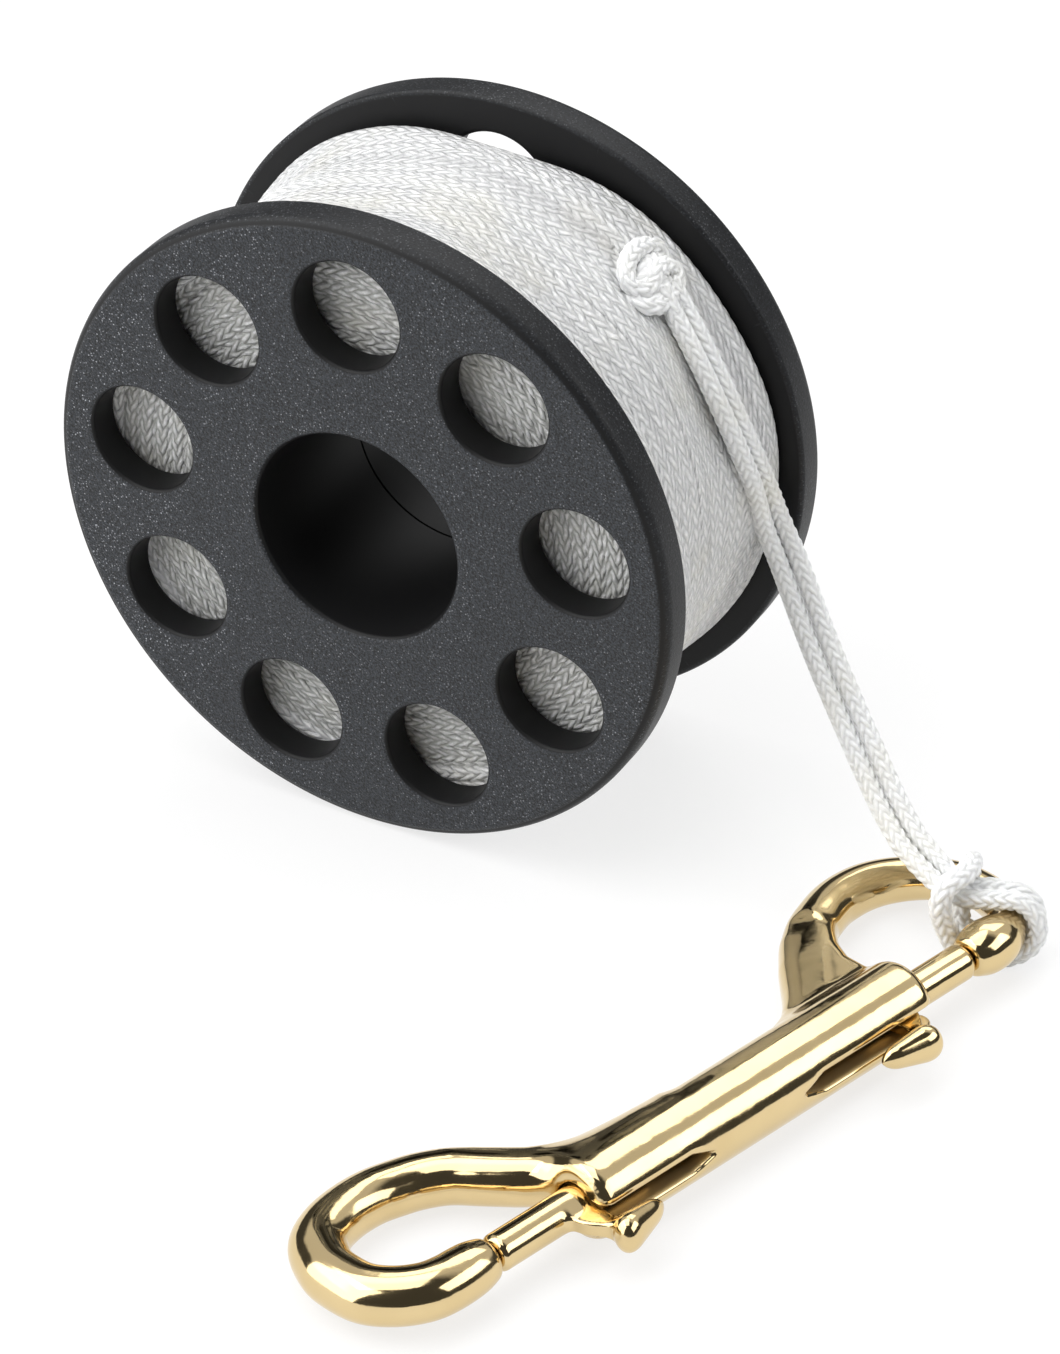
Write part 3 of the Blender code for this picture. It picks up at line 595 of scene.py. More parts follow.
# From the hub to the middle of the first side turn, and from the flange to that of each
side_turn_inset = 0.0015
side_turn_drift = 0.00016
for side, name in ((-1, "front"), (1, "rear")):
    angle = np.linspace(0, side_turns * math.tau, side_turns * steps_per_side_turn)
    radius = hub_radius + side_turn_inset + side_pitch * angle / math.tau
    level = side * (inner_half_width - side_turn_inset) + wander(angle, side_turn_drift, 11 + side)
    radius = radius + wander(angle, side_turn_drift, 21 + side)
    path = np.column_stack([radius * np.cos(angle), level, radius * np.sin(angle)])
    facing = np.zeros_like(path)
    facing[:, 1] = side
    line_piece(
        f"line_side_turns_{name}",
        "line_core",
        shaded_inner_nylon,
        path + spool_middle,
        facing,
        side_turn_half_width,
        line_height / 2,
        18,
        relief=0.24 * mm,
        fullness=0.62,
    )

# The turns between the side ones are never seen, so one ring stands for them. It ends inside the
# side turns.
side_turn_width = 0.0026
fill_outer = 0.0333
fill_inner = hub_radius + seat_gap
reach = inner_half_width - side_turn_width
fill_corners = [(fill_inner, -reach), (fill_outer, -reach), (fill_outer, reach), (fill_inner, reach)]
fill_profile = np.array([*fill_corners, fill_corners[0]])
fill_angles = np.linspace(0, math.tau, 97)
fill_points = turned_points(fill_profile, fill_angles)[:, [0, 2, 1]] + spool_middle
fill_quads = strip_faces(len(fill_profile), len(fill_angles), False)
fill_lines = np.zeros((fill_quads.size, 2))
core = new_piece("line_inner_turns", fill_points, [fill_quads], nylon, "braided_line", [fill_lines])
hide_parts("line_core")

# Outer layer of the line: turns side by side from the front flange to the rear one, then the
# last turns back over them on a slant to the knot. Pressed flat a little where turns touch.

layer_turns = 12
steps_per_turn = 520
slant_turns = 1.72
# Turns in which the line climbs on to the layer, and after which it sets off across it
climb_turns = 0.16
set_off_turns = 0.10
hill_height = 0.00013
# The knot's place round the spool, from +X towards +Z, and from mid-width towards the rear
knot_angle = math.radians(50)
knot_from_middle = 0.0063


def swell(angle, across):
    """Low hills of the winding: six waves that run both round the spool and across it, drawn
    from one seed, so that neighbouring turns rise together.
    """
    draw = np.random.default_rng(8)
    rates = np.round(draw.uniform(2, 9, 6))
    slants = draw.uniform(-420, 420, 6)
    phases = draw.uniform(0, math.tau, 6)
    waves = zip(rates, slants, phases)
    hills = sum(np.sin(rate * angle + slant * across + phase) for rate, slant, phase in waves)
    return hill_height * hills


def pack_rise(angle, across):
    """How far the winding stands above its mean: its low hills, a ridge under the knot, heaps
    along both flanges and a dip at the rear one, where the photograph looks through a hole.
    """
    degrees = (np.degrees(angle) + 180) % 360 - 180
    across = across / mm
    dent = np.exp(-(((degrees - 88) / 18) ** 2)) * np.clip((across - 7.0) / 5.5, 0, 1)
    ridge = np.clip((2.2 - across) / 5.0, 0, 1) * np.clip((degrees - 2) / 14, 0, 1)
    ridge = ridge * np.clip((100 - degrees) / 45, 0, 1)
    front_heap = np.clip((-across - 6.5) / 6.0, 0, 1) * 1.45
    rear_heap = np.clip((across - 6.0) / 6.0, 0, 1) * 1.1 * (1 - dent)
    heap = np.maximum(ridge, front_heap) + rear_heap
    return swell(angle, across * mm) + (1.1 * heap - 1.2 * dent) * mm


def layer_path():
    """Centre line of the outer layer and the way out from it. Its angle falls steadily, its
    place across grows by one line width each turn, and after the last turn it crosses back. The
    turn before the first comes up from the layer below, against the front flange. A turn leans
    with the slope of the winding, so that its neighbours meet it.
    """
    reach = inner_half_width - line_width / 2 - 0.1 * mm
    steps = np.arange(-1, layer_turns + slant_turns, 1 / steps_per_turn)
    angle = knot_angle + 0.13 + (steps[-1] - steps) * math.tau
    after = np.clip(steps - layer_turns, 0, None)
    climb = np.clip(after / climb_turns, 0, 1)
    cross = np.clip((after - set_off_turns) / (slant_turns - 0.25), 0, 1)
    climb, cross = (share**2 * (3 - 2 * share) for share in (climb, cross))
    across = -reach + 2 * reach / layer_turns * np.clip(steps, 0, layer_turns)
    across = across + (knot_from_middle - reach) * cross
    loose = (1 - climb) * np.clip((reach - np.abs(across)) / (2 * mm), 0, 1)
    across = across + wander(angle, 0.22 * mm, 3) * loose
    radius = pack_radius - line_height / 2 + wander(angle, 0.03 * mm, 5) * loose
    radius = radius + pack_rise(angle, across) + 0.2 * mm * (1 - cross) * climb
    radius = radius - line_height * np.clip(-steps, 0, 1)
    near = 0.4 * mm
    slope = (pack_rise(angle, across + near) - pack_rise(angle, across - near)) / (2 * near)
    around = np.column_stack([np.cos(angle), np.zeros_like(angle), np.sin(angle)])
    centres = radius[:, None] * around + across[:, None] * (0, 1, 0)
    return centres, around - slope[:, None] * (0, 1, 0)


path, facing = layer_path()
half_way = len(path) // 2
for name, part in (("front", slice(0, half_way + 1)), ("rear", slice(half_way, None))):
    line_piece(
        f"line_outer_turns_{name}",
        "line_outer_layer",
        nylon,
        path[part] + spool_middle,
        facing[part],
        line_width / 2,
        line_height / 2,
        24,
        relief=0.07 * mm,
        fullness=0.45,
    )

# End loop: the last of the line, doubled. It lies over the winding from the knot, hangs down to
# the snap and holds its hook in a cow hitch. Limp braid, 230 mm of it, all of it in view.

cord_diameter = 0.0022
cad_line_radius = 0.0009
pair_spacing = 0.0023
# Slack line is rounder and its floats are drawn up shorter
slack_braid = (8, 1.4)

# The pair's middle line from the spool's middle, as the model's source has it
pair_route = [
    (0.0276, 0.0062, 0.0248), (0.0318, 0.0054, 0.0190), (0.0352, 0.0060, 0.0117),
    (0.0369, 0.0086, 0.0040), (0.0378, 0.0110, -0.0030), (0.0405, 0.0107, -0.0082),
    (0.0469, 0.0068, -0.0159), (0.0552, 0.0015, -0.0237), (0.0606, -0.0022, -0.0278),
    (0.0657, -0.0054, -0.0301),
]
pair_points = 20
# Shares of the way at which the pair leaves the winding and nears the hook, and how long it turns
leaving_share = 0.25
nearing_share = 0.75
turning_share = 0.20
# The hitch, as shares (inside, above) of the line's distance from the stock's middle, and for its
# rounds as degrees from the inside, a share of that distance and of the legs' spacing
hitch_leads = [(1.35, 1.19), (0.92, 1.14), (0.55, 1.10), (0.22, 1.07)]
hitch_rounds = [
    (100, 1.04, 0.50), (120, 1.04, 0.50), (142, 1.03, 0.52), (165, 1.02, 0.56), (188, 1.02, 0.62),
    (211, 1.01, 0.68), (238, 0.97, 0.75), (264, 0.95, 0.80), (290, 1.04, 0.86), (314, 1.25, 0.96),
    (338, 1.38, 1.10),
]
hitch_near_bar = [
    (1.44, 0.02, 1.24), (1.50, 0.45, 1.40), (1.53, 0.90, 1.54), (1.49, 1.36, 1.54),
    (1.40, 1.76, 1.24), (1.26, 1.94, 0.72),
]
hitch_far_bar = [
    (1.28, 0.02, 1.30), (1.12, 0.45, 1.54), (0.92, 0.92, 1.72), (0.82, 1.38, 1.68),
    (0.87, 1.78, 1.34), (1.01, 1.96, 0.74),
]
hitch_middle = (1.14, 2.02, 0.05)
# Share of the way along the hook's centre line at which the hitch sits
hitch_place = 0.857

# The snap's own frame: X along its barrel to the tied hook, Y to the hooks' backs
snap_middle = spool_middle + (0.06483, -0.04731, 0.0048 - flange_radius)
snap_turn = math.radians(71.92)
snap_lean = 0.101268
snap_axes = np.array(Matrix.Rotation(snap_turn, 3, "Z") @ Matrix.Rotation(-snap_lean, 3, "X"))

# Centre line of each hook in millimetres: along the barrel, out to the hook's back, stock radius
tied_hook_mm = np.array(
    [
        (0.246, 0.165, 0.92), (0.333, 0.314, 0.98), (0.435, 0.600, 1.00), (0.493, 0.755, 1.00),
        (0.555, 0.872, 0.98), (0.616, 0.941, 0.97), (0.677, 0.990, 0.96), (0.735, 1.000, 0.95),
        (0.785, 0.984, 0.93), (0.832, 0.936, 0.90), (0.878, 0.850, 0.86), (0.917, 0.740, 0.83),
        (0.944, 0.615, 0.80), (0.955, 0.480, 0.78), (0.950, 0.330, 0.78), (0.925, 0.175, 0.78),
        (0.880, 0.050, 0.80), (0.828, 0.000, 1.00), (0.775, 0.000, 1.04), (0.7225, 0.000, 0.76),
    ]
) * (48.3, 18.8, 3.0)
free_hook_mm = np.array(
    [
        (0.255, 0.115, 0.92), (0.360, 0.180, 1.00), (0.422, 0.275, 1.02), (0.474, 0.400, 1.02),
        (0.532, 0.615, 1.02), (0.576, 0.787, 1.02), (0.625, 0.893, 1.02), (0.673, 0.953, 1.02),
        (0.727, 0.998, 1.02), (0.790, 1.000, 1.03), (0.853, 0.953, 1.05), (0.903, 0.852, 1.06),
        (0.933, 0.663, 1.06), (0.940, 0.520, 1.06), (0.933, 0.310, 1.06), (0.900, 0.150, 1.05),
        (0.855, 0.045, 1.04), (0.810, 0.006, 1.03), (0.745, 0.000, 0.98), (0.697, 0.000, 0.78),
    ]
) * (53.8, 16.9, 3.0)


def smooth_path(places, count):
    """count points evenly spaced on a curve through the places, each stretch a cubic whose ends
    point along the line between the places on each side.
    """
    knots = np.array(places, float)
    ends = np.vstack([2 * knots[0] - knots[1], knots, 2 * knots[-1] - knots[-2]])
    share = np.linspace(0, 1, 24, endpoint=False)[:, None]
    pieces = []
    for before, first, second, after in zip(ends, ends[1:], ends[2:], ends[3:]):
        pieces.append(
            first
            + share * (second - before) / 2
            + share**2 * (2 * before - 5 * first + 4 * second - after) / 2
            + share**3 * (3 * first - before - 3 * second + after) / 2
        )
    fine = np.vstack([*pieces, knots[-1:]])
    travelled = travelled_along(fine)
    wanted = np.linspace(0, travelled[-1], count)
    return np.column_stack([np.interp(wanted, travelled, fine[:, axis]) for axis in range(3)])


hook_line = smooth_path(tied_hook_mm, 36)
stock = hook_line * (1, 1, 0)
stock_radii = hook_line[:, 2]
stock_travelled = travelled_along(stock)
hitch_travelled = hitch_place * stock_travelled[-1]


def stock_at(travelled):
    """The place on the tied hook's centre line that far along it, in millimetres."""
    return np.array([np.interp(travelled, stock_travelled, stock[:, axis]) for axis in range(3)])


spacing_mm = pair_spacing / mm
stock_ahead = stock_at(hitch_travelled + spacing_mm / 2) - stock_at(hitch_travelled - spacing_mm / 2)
stock_inward = np.cross(stock_ahead / np.linalg.norm(stock_ahead), (0, 0, 1))


def hitch_point(inside, above, along):
    """A place of the hitch, from shares of the line's distance from the stock's middle towards
    the hook's inside and up, and a share of the two legs' spacing along the stock.
    """
    travelled = hitch_travelled + along * spacing_mm
    wrap = np.interp(travelled, stock_travelled, stock_radii) + (seat_gap + cad_line_radius) / mm
    place = stock_at(travelled) + wrap * (inside * stock_inward + above * np.array([0, 0, 1]))
    return snap_axes @ place * mm + snap_middle


def loop_path():
    """Centre line of the end loop: two legs set to each side of the pair's middle line, joined
    by the hitch round the hook's stock.
    """
    leads = [hitch_point(inside, above, 0) for inside, above in hitch_leads]
    pair = smooth_path([*(np.array(pair_route) + spool_middle), *leads], pair_points)
    radial = unit((pair - spool_middle) * (1, 0, 1))
    travelled = np.linspace(0, 1, pair_points)[:, None]
    hanging = np.clip((travelled - leaving_share) / turning_share, 0, 1)
    hooked = np.clip((travelled - nearing_share) / turning_share, 0, 1)
    # Where they hang, the legs lie side by side as the photograph sees them
    away = radial * (1 - hanging) + np.array(camera_back) * hanging
    away = away * (1 - hooked) + np.array([0, 0, 1]) * hooked
    sideways = unit(np.cross(np.gradient(pair, axis=0), away))
    strands = []
    for side, bar in ((1, hitch_near_bar), (-1, hitch_far_bar)):
        rounds = [
            (share * math.cos(math.radians(at)), share * math.sin(math.radians(at)), along)
            for at, share, along in hitch_rounds
        ]
        places = [*rounds, *bar]
        strands.append([hitch_point(inside, above, side * along) for inside, above, along in places])
    hitch = [*strands[0], hitch_point(*hitch_middle), *strands[1][::-1]]
    side = 1 if sideways[-1] @ (hitch[0] - hitch[-1]) > 0 else -1
    offset = sideways * side * pair_spacing / 2
    down, back = pair + offset, pair - offset
    middle = smooth_path([*down[-4:], *hitch, *back[:-5:-1]], 54)
    return np.vstack([down[:-4], middle, back[:-4][::-1]])


def carried_frame(path):
    """A direction across the path at each point, turned no more than the path itself turns: each
    is the one before, less its part along the path.
    """
    ahead = unit(np.gradient(path, axis=0))
    found = [np.cross(ahead[0], (0, 1, 0))]
    for direction in ahead[1:]:
        across = found[-1] - (found[-1] @ direction) * direction
        found.append(across / np.linalg.norm(across))
    return np.array(found)


route = loop_path()
path = smooth_path(route, 2000)
cord_radius = cord_diameter / 2
# The hitch is in the middle tenth of the line and squeezes it wider
squeezed = np.exp(-((np.linspace(-1, 1, len(path)) / 0.13) ** 4))[:, None]
cord_half = cord_radius * (1 + 0.13 * squeezed)
cord_tube = (path, carried_frame(path), cord_half, cord_half, 40, slack_braid, 0.26 * mm)
loop = line_piece("end_loop_line", "end_loop", slack_nylon, *cord_tube)

# Knot of the end loop: the doubled line tied in an overhand knot and drawn tight, lying on the
# winding. Its turns are the same braid, pressed into each other.

# The knot's line in millimetres from its place on the winding: down round the winding, across it
# and out from it. It rises from the winding, curls round and dives in again.
knot_route_mm = [
    (1.2, 4.6, -0.8), (-0.4, 4.9, 0.3), (-1.8, 4.0, 0.9), (-2.9, 1.9, 1.1), (-3.0, -0.9, 1.2),
    (-2.1, -3.2, 1.1), (-0.5, -4.2, 1.0), (1.0, -3.3, 1.1), (1.2, -1.5, 1.5), (0.4, 0.3, 1.9),
    (0.9, 2.3, 2.0), (2.3, 2.9, 1.6), (3.5, 1.4, 1.2), (3.9, -0.9, 1.0), (3.4, -3.2, 0.9),
    (2.2, -4.5, 0.6), (0.6, -4.0, 0.1), (0.2, -2.2, 0.2), (1.6, -0.6, 0.6), (3.6, 0.1, 0.7),
    (5.2, 0.4, -0.2),
]

knot_out = np.array([math.cos(knot_angle), 0, math.sin(knot_angle)])
knot_down = np.array([math.sin(knot_angle), 0, -math.cos(knot_angle)])
knot_across = np.array([0, 1, 0])
knot_from_axis = 0.0362
knot_middle = spool_middle + knot_out * knot_from_axis + knot_across * knot_from_middle
knot_axes = np.array([knot_down, knot_across, knot_out])


def knot_piece(name, path, half_width, half_height, sides, relief, fullness=1.0):
    """A tube of the knot, whose rings are half_height out from the winding."""
    facing = np.broadcast_to(knot_out, path.shape)
    section = (half_width, half_height, sides, slack_braid, relief, fullness)
    return line_piece(name, "knot", slack_nylon, path, facing, *section)


# A pulled knot is tighter than that, and flatter
knot_draw = (0.92, 0.92, 0.85)
path = knot_middle + smooth_path(knot_route_mm, 420) * knot_draw * mm @ knot_axes
knot_piece("end_loop_knot", path, 1.15 * mm, 0.85 * mm, 28, 0.28 * mm)

# The strands that the outer ones squeeze out of sight fill the knot's middle
knot_core_mm = [(0.2, 2.9, 0.3), (0.6, 0.6, 0.7), (1.4, -1.2, 0.75), (2.4, -3.0, 0.2)]
path = knot_middle + smooth_path(knot_core_mm, 60) * mm @ knot_axes
knot_piece("end_loop_knot_core", path, 2.4 * mm, 1.1 * mm, 32, 0.3 * mm, 0.8)

# Both strands of the loop run on into the knot
for name, end, after in (("near", route[0], route[1]), ("far", route[-1], route[-2])):
    ahead = (after - end) / np.linalg.norm(after - end)
    path = smooth_path([end + reached * mm * ahead for reached in (-3.2, -1.5, 0.4)], 30)
    knot_piece(f"end_loop_knot_leg_{name}", path, 1.07 * mm, 1.07 * mm, 28, 0.2 * mm)

# Snap body: a brass casting, barrel and both hooks in one, ground, polished and plated. The
# bores and slots are cut after casting, and polishing rounds every edge.

barrel_half_mm = 25.25
barrel_radius_mm = 4.8
barrel_fillet_mm = 1.6
bolt_radius_mm = 2.15
bolt_clearance_mm = 0.2
divider_half_mm = 1.0
slot_half_width_mm = 1.1
slot_point_length_mm = 3.0
# Where each slot starts to narrow, from the barrel's middle
slot_ends_mm = {1: 7.65, -1: 12.25}
# Bores and slots are cut no further out than this, clear of the hooks' noses. Beyond it, the
# distance to them counts as clear_mm.
bore_reach_mm = 32
slot_reach_mm = 30
clear_mm = 9.0
# Widths over which the bar and web of each hook blend, and each hook blends into the barrel
tied_blend_mm = 2.0
free_blend_mm = 1.0
tied_root_blend_mm = 1.6
free_root_blend_mm = 3.0
# Widths over which polishing rounds the edges of bores and slots
bore_edge_mm = 0.5
slot_edge_mm = 0.9
# The casting's faces are about this long, and distances to it are worked out for so many places
# at once, to spare memory
casting_step_mm = 0.32
places_at_once = 20000

# Outline of the flat web at each hook's root: along the barrel, out to the hook's back
tied_web_mm = np.array(
    [
        (0.186, 0.0), (0.186, 0.234), (0.261, 0.298), (0.321, 0.457), (0.393, 0.670),
        (0.468, 0.820), (0.560, 0.880), (0.578, 0.760), (0.542, 0.600), (0.520, 0.450),
        (0.518, 0.300), (0.524, 0.0),
    ]
) * (48.3, 18.8)
free_web_mm = np.array(
    [
        (0.167, 0.0), (0.167, 0.237), (0.260, 0.272), (0.361, 0.355), (0.446, 0.520),
        (0.520, 0.757), (0.576, 0.880), (0.576, 0.700), (0.510, 0.400), (0.455, 0.260),
        (0.400, 0.150), (0.400, 0.0),
    ]
) * (-53.8, 16.9)


def blended(first, second, width):
    """The nearer of two distances, rounded where they are within width of each other."""
    near = np.maximum(width - np.abs(first - second), 0) / width
    return np.minimum(first, second) - near**2 * width / 4


def cut(first, tool, width):
    """What is left of a shape outside a tool, with the edge rounded over width."""
    return -blended(-first, tool, width)


def rounded(sides, radius):
    """Distance to where all sides overlap, with edges of a radius, from the distances to the
    sides less that radius.
    """
    outside = np.sqrt(sum(np.maximum(side, 0) ** 2 for side in sides))
    return np.minimum(np.maximum.reduce(sides), 0) + outside - radius


def outline_distance(across, along, outline):
    """Distance to a closed outline, negative inside: the least over its sides, with the sign from
    how many sides a ray to the right crosses.
    """
    nearest = np.full(np.shape(across), np.inf)
    inside = np.zeros(np.shape(across), bool)
    for (x0, y0), (x1, y1) in zip(outline, np.roll(outline, -1, axis=0)):
        length = (x1 - x0) ** 2 + (y1 - y0) ** 2
        share = np.clip(((across - x0) * (x1 - x0) + (along - y0) * (y1 - y0)) / length, 0, 1)
        away = np.hypot(across - x0 - share * (x1 - x0), along - y0 - share * (y1 - y0))
        nearest = np.minimum(nearest, away)
        if y0 != y1:
            crosses = (along < y0) != (along < y1)
            inside ^= crosses & (across < x0 + (along - y0) / (y1 - y0) * (x1 - x0))
    return np.where(inside, -nearest, nearest)


def stock_distance(across, along, line):
    """Distance in the hook's plane to its centre line, the stock's radius there and the share of
    the line travelled, all at the nearest point of the line.
    """
    shape = np.shape(across)
    across, along = np.ravel(across), np.ravel(along)
    start, step = line[:-1, :2], np.diff(line[:, :2], axis=0)
    lengths = (step**2).sum(axis=1)
    found = np.empty((3, across.size))
    for first in range(0, across.size, places_at_once):
        part = slice(first, first + places_at_once)
        east = across[part, None] - start[:, 0]
        north = along[part, None] - start[:, 1]
        share = np.clip((east * step[:, 0] + north * step[:, 1]) / lengths, 0, 1)
        away = (east - share * step[:, 0]) ** 2 + (north - share * step[:, 1]) ** 2
        best = away.argmin(axis=1)
        rows = np.arange(len(best))
        place = best + share[rows, best]
        found[0, part] = np.sqrt(away[rows, best])
        found[1, part] = np.interp(place, np.arange(len(line)), line[:, 2])
        found[2, part] = place / (len(line) - 1)
    return found.reshape(3, *shape)


# Each web's rounding and half thickness, for the tied hook (1) and the free one (-1)
web_edges_mm = {1: 1.5, -1: 1.0}
web_half_thickness_mm = {1: 2.2, -1: 2.5}
# The hooks' noses are cut square, with this rounding
nose_edge_mm = 0.8
# The tied hook's bar is ground flat on both sides at its root
ground_half_thickness_mm = 2.15
ground_edge_mm = 0.4


def hook_field(x, y, z, line, web, side):
    """Distances to a hook's bar, which is round with a radius that follows its centre line and
    cut flat at its nose, and to the flat-sided web at its root.
    """
    away, radius, share = stock_distance(x, y, line)
    bar = np.hypot(away, z) - radius
    nose = abs(line[-1, 0]) - side * x
    bar = np.where(share > 0.8, cut(bar, -nose, nose_edge_mm), bar)
    edge = web_edges_mm[side]
    flat = outline_distance(x, y, web) + edge
    thick = np.abs(z) - web_half_thickness_mm[side] + edge
    plate = rounded([flat, thick], edge)
    if side > 0:
        ground = ground_half_thickness_mm + 4 * np.clip((share - 0.31) / 0.10, 0, 1)
        return cut(bar, ground - np.abs(z), ground_edge_mm), plate
    return bar, plate


tied_line_mm = smooth_path(tied_hook_mm, 320)
free_line_mm = smooth_path(free_hook_mm * (-1, 1, 1), 320)


def slot_outline(end):
    """Outline of a slot seen square on: open at the mouth, pointed at its inner end."""
    half, mouth = slot_half_width_mm, slot_reach_mm + 10
    tip = (end - slot_point_length_mm, 0)
    return np.array([tip, (end, -half), (mouth, -half), (mouth, half), (end, half)])


def casting_field(x, y, z):
    """Distance to the snap body in its own frame, in millimetres."""
    around = np.hypot(y, z)
    end = np.abs(x) - (barrel_half_mm - barrel_fillet_mm)
    wall = around - (barrel_radius_mm - barrel_fillet_mm)
    barrel = rounded([end, wall], barrel_fillet_mm)
    tied_bar, tied_plate = hook_field(x, y, z, tied_line_mm, tied_web_mm, 1)
    free_bar, free_plate = hook_field(x, y, z, free_line_mm, free_web_mm, -1)
    tied = blended(tied_bar, tied_plate, tied_blend_mm)
    free = blended(free_bar, free_plate, free_blend_mm)
    body = blended(blended(barrel, tied, tied_root_blend_mm), free, free_root_blend_mm)
    bore = np.maximum(around - bolt_radius_mm - bolt_clearance_mm, divider_half_mm - np.abs(x))
    bore = np.where(np.abs(x) > bore_reach_mm, clear_mm, bore)
    ends = slot_ends_mm.items()
    outlines = [outline_distance(side * x, z, slot_outline(end)) for side, end in ends]
    slot = np.maximum(np.minimum(*outlines), y)
    slot = np.where(np.abs(x) > slot_reach_mm, clear_mm, slot)
    return cut(cut(body, bore, bore_edge_mm), slot, slot_edge_mm)


def skin(field, low, step):
    """Closed quads where a grid of distances crosses zero: a crossed cell gets one point, the mean
    of the places where its edges are crossed, and a crossed edge joins the four cells round it.
    """
    shape = np.array(field.shape)
    strides = np.array([shape[1] * shape[2], shape[2], 1])
    flat = field.ravel()
    cells, places, quads = [], [], []
    for axis in range(3):
        others = [(axis + 1) % 3, (axis + 2) % 3]
        near, far, offset = [slice(1, -1)] * 3, [slice(1, -1)] * 3, np.ones(3, int)
        near[axis], far[axis], offset[axis] = slice(0, -1), slice(1, None), 0
        index = np.argwhere((field[tuple(near)] < 0) != (field[tuple(far)] < 0)) + offset
        start = index @ strides
        share = flat[start] / (flat[start] - flat[start + strides[axis]])
        place = index.astype(float)
        place[:, axis] += share
        one, two = strides[others[0]], strides[others[1]]
        around = np.stack([start, start - one, start - one - two, start - two], axis=1)
        cells.append(around.ravel())
        places.append(np.repeat(place, 4, axis=0))
        quads.append(np.where((flat[start] < 0)[:, None], around, around[:, ::-1]))
    cells, places, quads = (np.concatenate(found) for found in (cells, places, quads))
    used, owner = np.unique(cells, return_inverse=True)
    count = np.bincount(owner)
    means = [np.bincount(owner, weights=places[:, axis]) / count for axis in range(3)]
    points = np.stack(means, axis=1)
    return low + step * points, np.searchsorted(used, quads)


def settled(points, distance, reach=0.03):
    """The points moved on to the surface along its slope, which is measured over the reach."""
    value = distance(*points.T)
    slopes = []
    for axis in range(3):
        shift = reach * np.eye(3)[axis]
        slopes.append((distance(*(points + shift).T) - distance(*(points - shift).T)) / (2 * reach))
    slope = np.stack(slopes, axis=1)
    return points - slope * (value / (slope**2).sum(axis=1))[:, None]


def solid_piece(name, distance, low, high, step, material, bored_mm=0.0):
    """A piece of the snap where a function of its own frame gives the distance to it. Inside the
    barrel its faces nearer the axis than bored_mm are left as cast.
    """
    axes = [np.arange(start, end, step) for start, end in zip(low, high)]
    x, y, z = np.meshgrid(*axes, indexing="ij")
    points, quads = skin(distance(x, y, z), np.array(low, float), step)
    points = settled(points, distance)
    placed = points @ snap_axes.T * mm + snap_middle
    around = np.hypot(points[:, 1], points[:, 2])
    hidden = (np.abs(points[:, 0]) < barrel_half_mm - 0.3) & (around < bored_mm)
    return new_piece(name, placed, [quads], material, "brass", finish=np.where(hidden, 0.0, 1.0))


def polished_brass():
    """Brass cast, polished and flash plated: a clear yellow mirror, softened by the polishing and
    with the low waves that a mop leaves, so that reflections bend along it.
    """
    made, tree, shader = new_material("polished_plated_brass", Metallic=1.0)
    place = on_object(tree)
    waves = noise(tree, place, 190.0)
    base = blend(tree, waves, colour("#d5bd8c"), colour("#e2cb9c"))
    tree.links.new(base, shader.inputs["Base Color"])
    # Bores and slots are left as cast
    polished = add_node(tree, "ShaderNodeAttribute", attribute_name="finish").outputs["Fac"]
    haze = ramp(tree, noise(tree, place, 420.0, 4.0), 0.3, 0.75, 0.07, 0.15)
    tree.links.new(blend(tree, polished, 0.55, haze, "FLOAT"), shader.inputs["Roughness"])
    # Buffing marks of about 0.4 mm and the mop's waves under the plating
    scratches = maths(tree, "MULTIPLY", noise(tree, place, 2600.0), 0.035)
    roughen(tree, shader, maths(tree, "ADD", scratches, waves), 0.35, 0.25 * mm)
    return made


brass = polished_brass()
low, high = (-58, -6.5, -5.9), (51, 23.5, 5.9)
casting = solid_piece("snap_casting", casting_field, low, high, casting_step_mm, brass, bored_mm=4.3)
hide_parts("snap_body")

# Springs: one coil of steel wire behind each bolt, seen only through the slot. They are made at
# their length with the gate shut.

spring_coils = 6
steps_per_coil = 40
spring_wire = 0.0004
# Both ends from the barrel's middle
spring_near = 0.0015
spring_far = 0.0159


def spring_wire_steel():
    """Drawn spring wire: grey, with a fine mottle for its draw marks."""
    made, tree, shader = new_material("drawn_spring_wire", Metallic=1.0, Roughness=0.3)
    place = on_object(tree)
    base = blend(tree, noise(tree, place, 5200.0), colour("#77787a"), colour("#b4b5b7"))
    tree.links.new(base, shader.inputs["Base Color"])
    return made


steel = spring_wire_steel()
for hook, side in (("tied_hook", 1), ("free_hook", -1)):
    turn = np.linspace(0, spring_coils * math.tau, spring_coils * steps_per_coil)
    coil = bolt_radius_mm * mm - spring_wire / 2
    along = side * np.linspace(spring_near, spring_far, len(turn))
    local = np.column_stack([along, coil * np.cos(turn), coil * np.sin(turn)])
    facing = local * (0, 1, 1) @ snap_axes.T
    spring_tube = tube(local @ snap_axes.T + snap_middle, facing, spring_wire / 2, spring_wire / 2, 8)
    spring = new_piece(f"spring_{hook}_wire", *spring_tube[:2], steel, "spring_steel")
    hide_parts(f"spring_{hook}")
    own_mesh(spring)

# Gate bolts: turned brass pins with a thumb lug cast on a neck that runs in the slot, polished
# and plated like the body. Each slides back into the barrel against its spring.

bolt_inner_mm = 16.4
neck_length_mm = 3.5
neck_half_thickness_mm = 0.85
neck_edge_mm = 0.3
nose_radius_mm = 0.9
lug_length_mm = 8.2
lug_half_width_mm = 2.7
lug_half_height_mm = 2.1
lug_tip_half_mm = 1.0
lug_inner_mm = 5.9
lug_edge_mm = 2.6
lug_blend_mm = 1.2
neck_blend_mm = 1.0
bolt_step_mm = 0.2


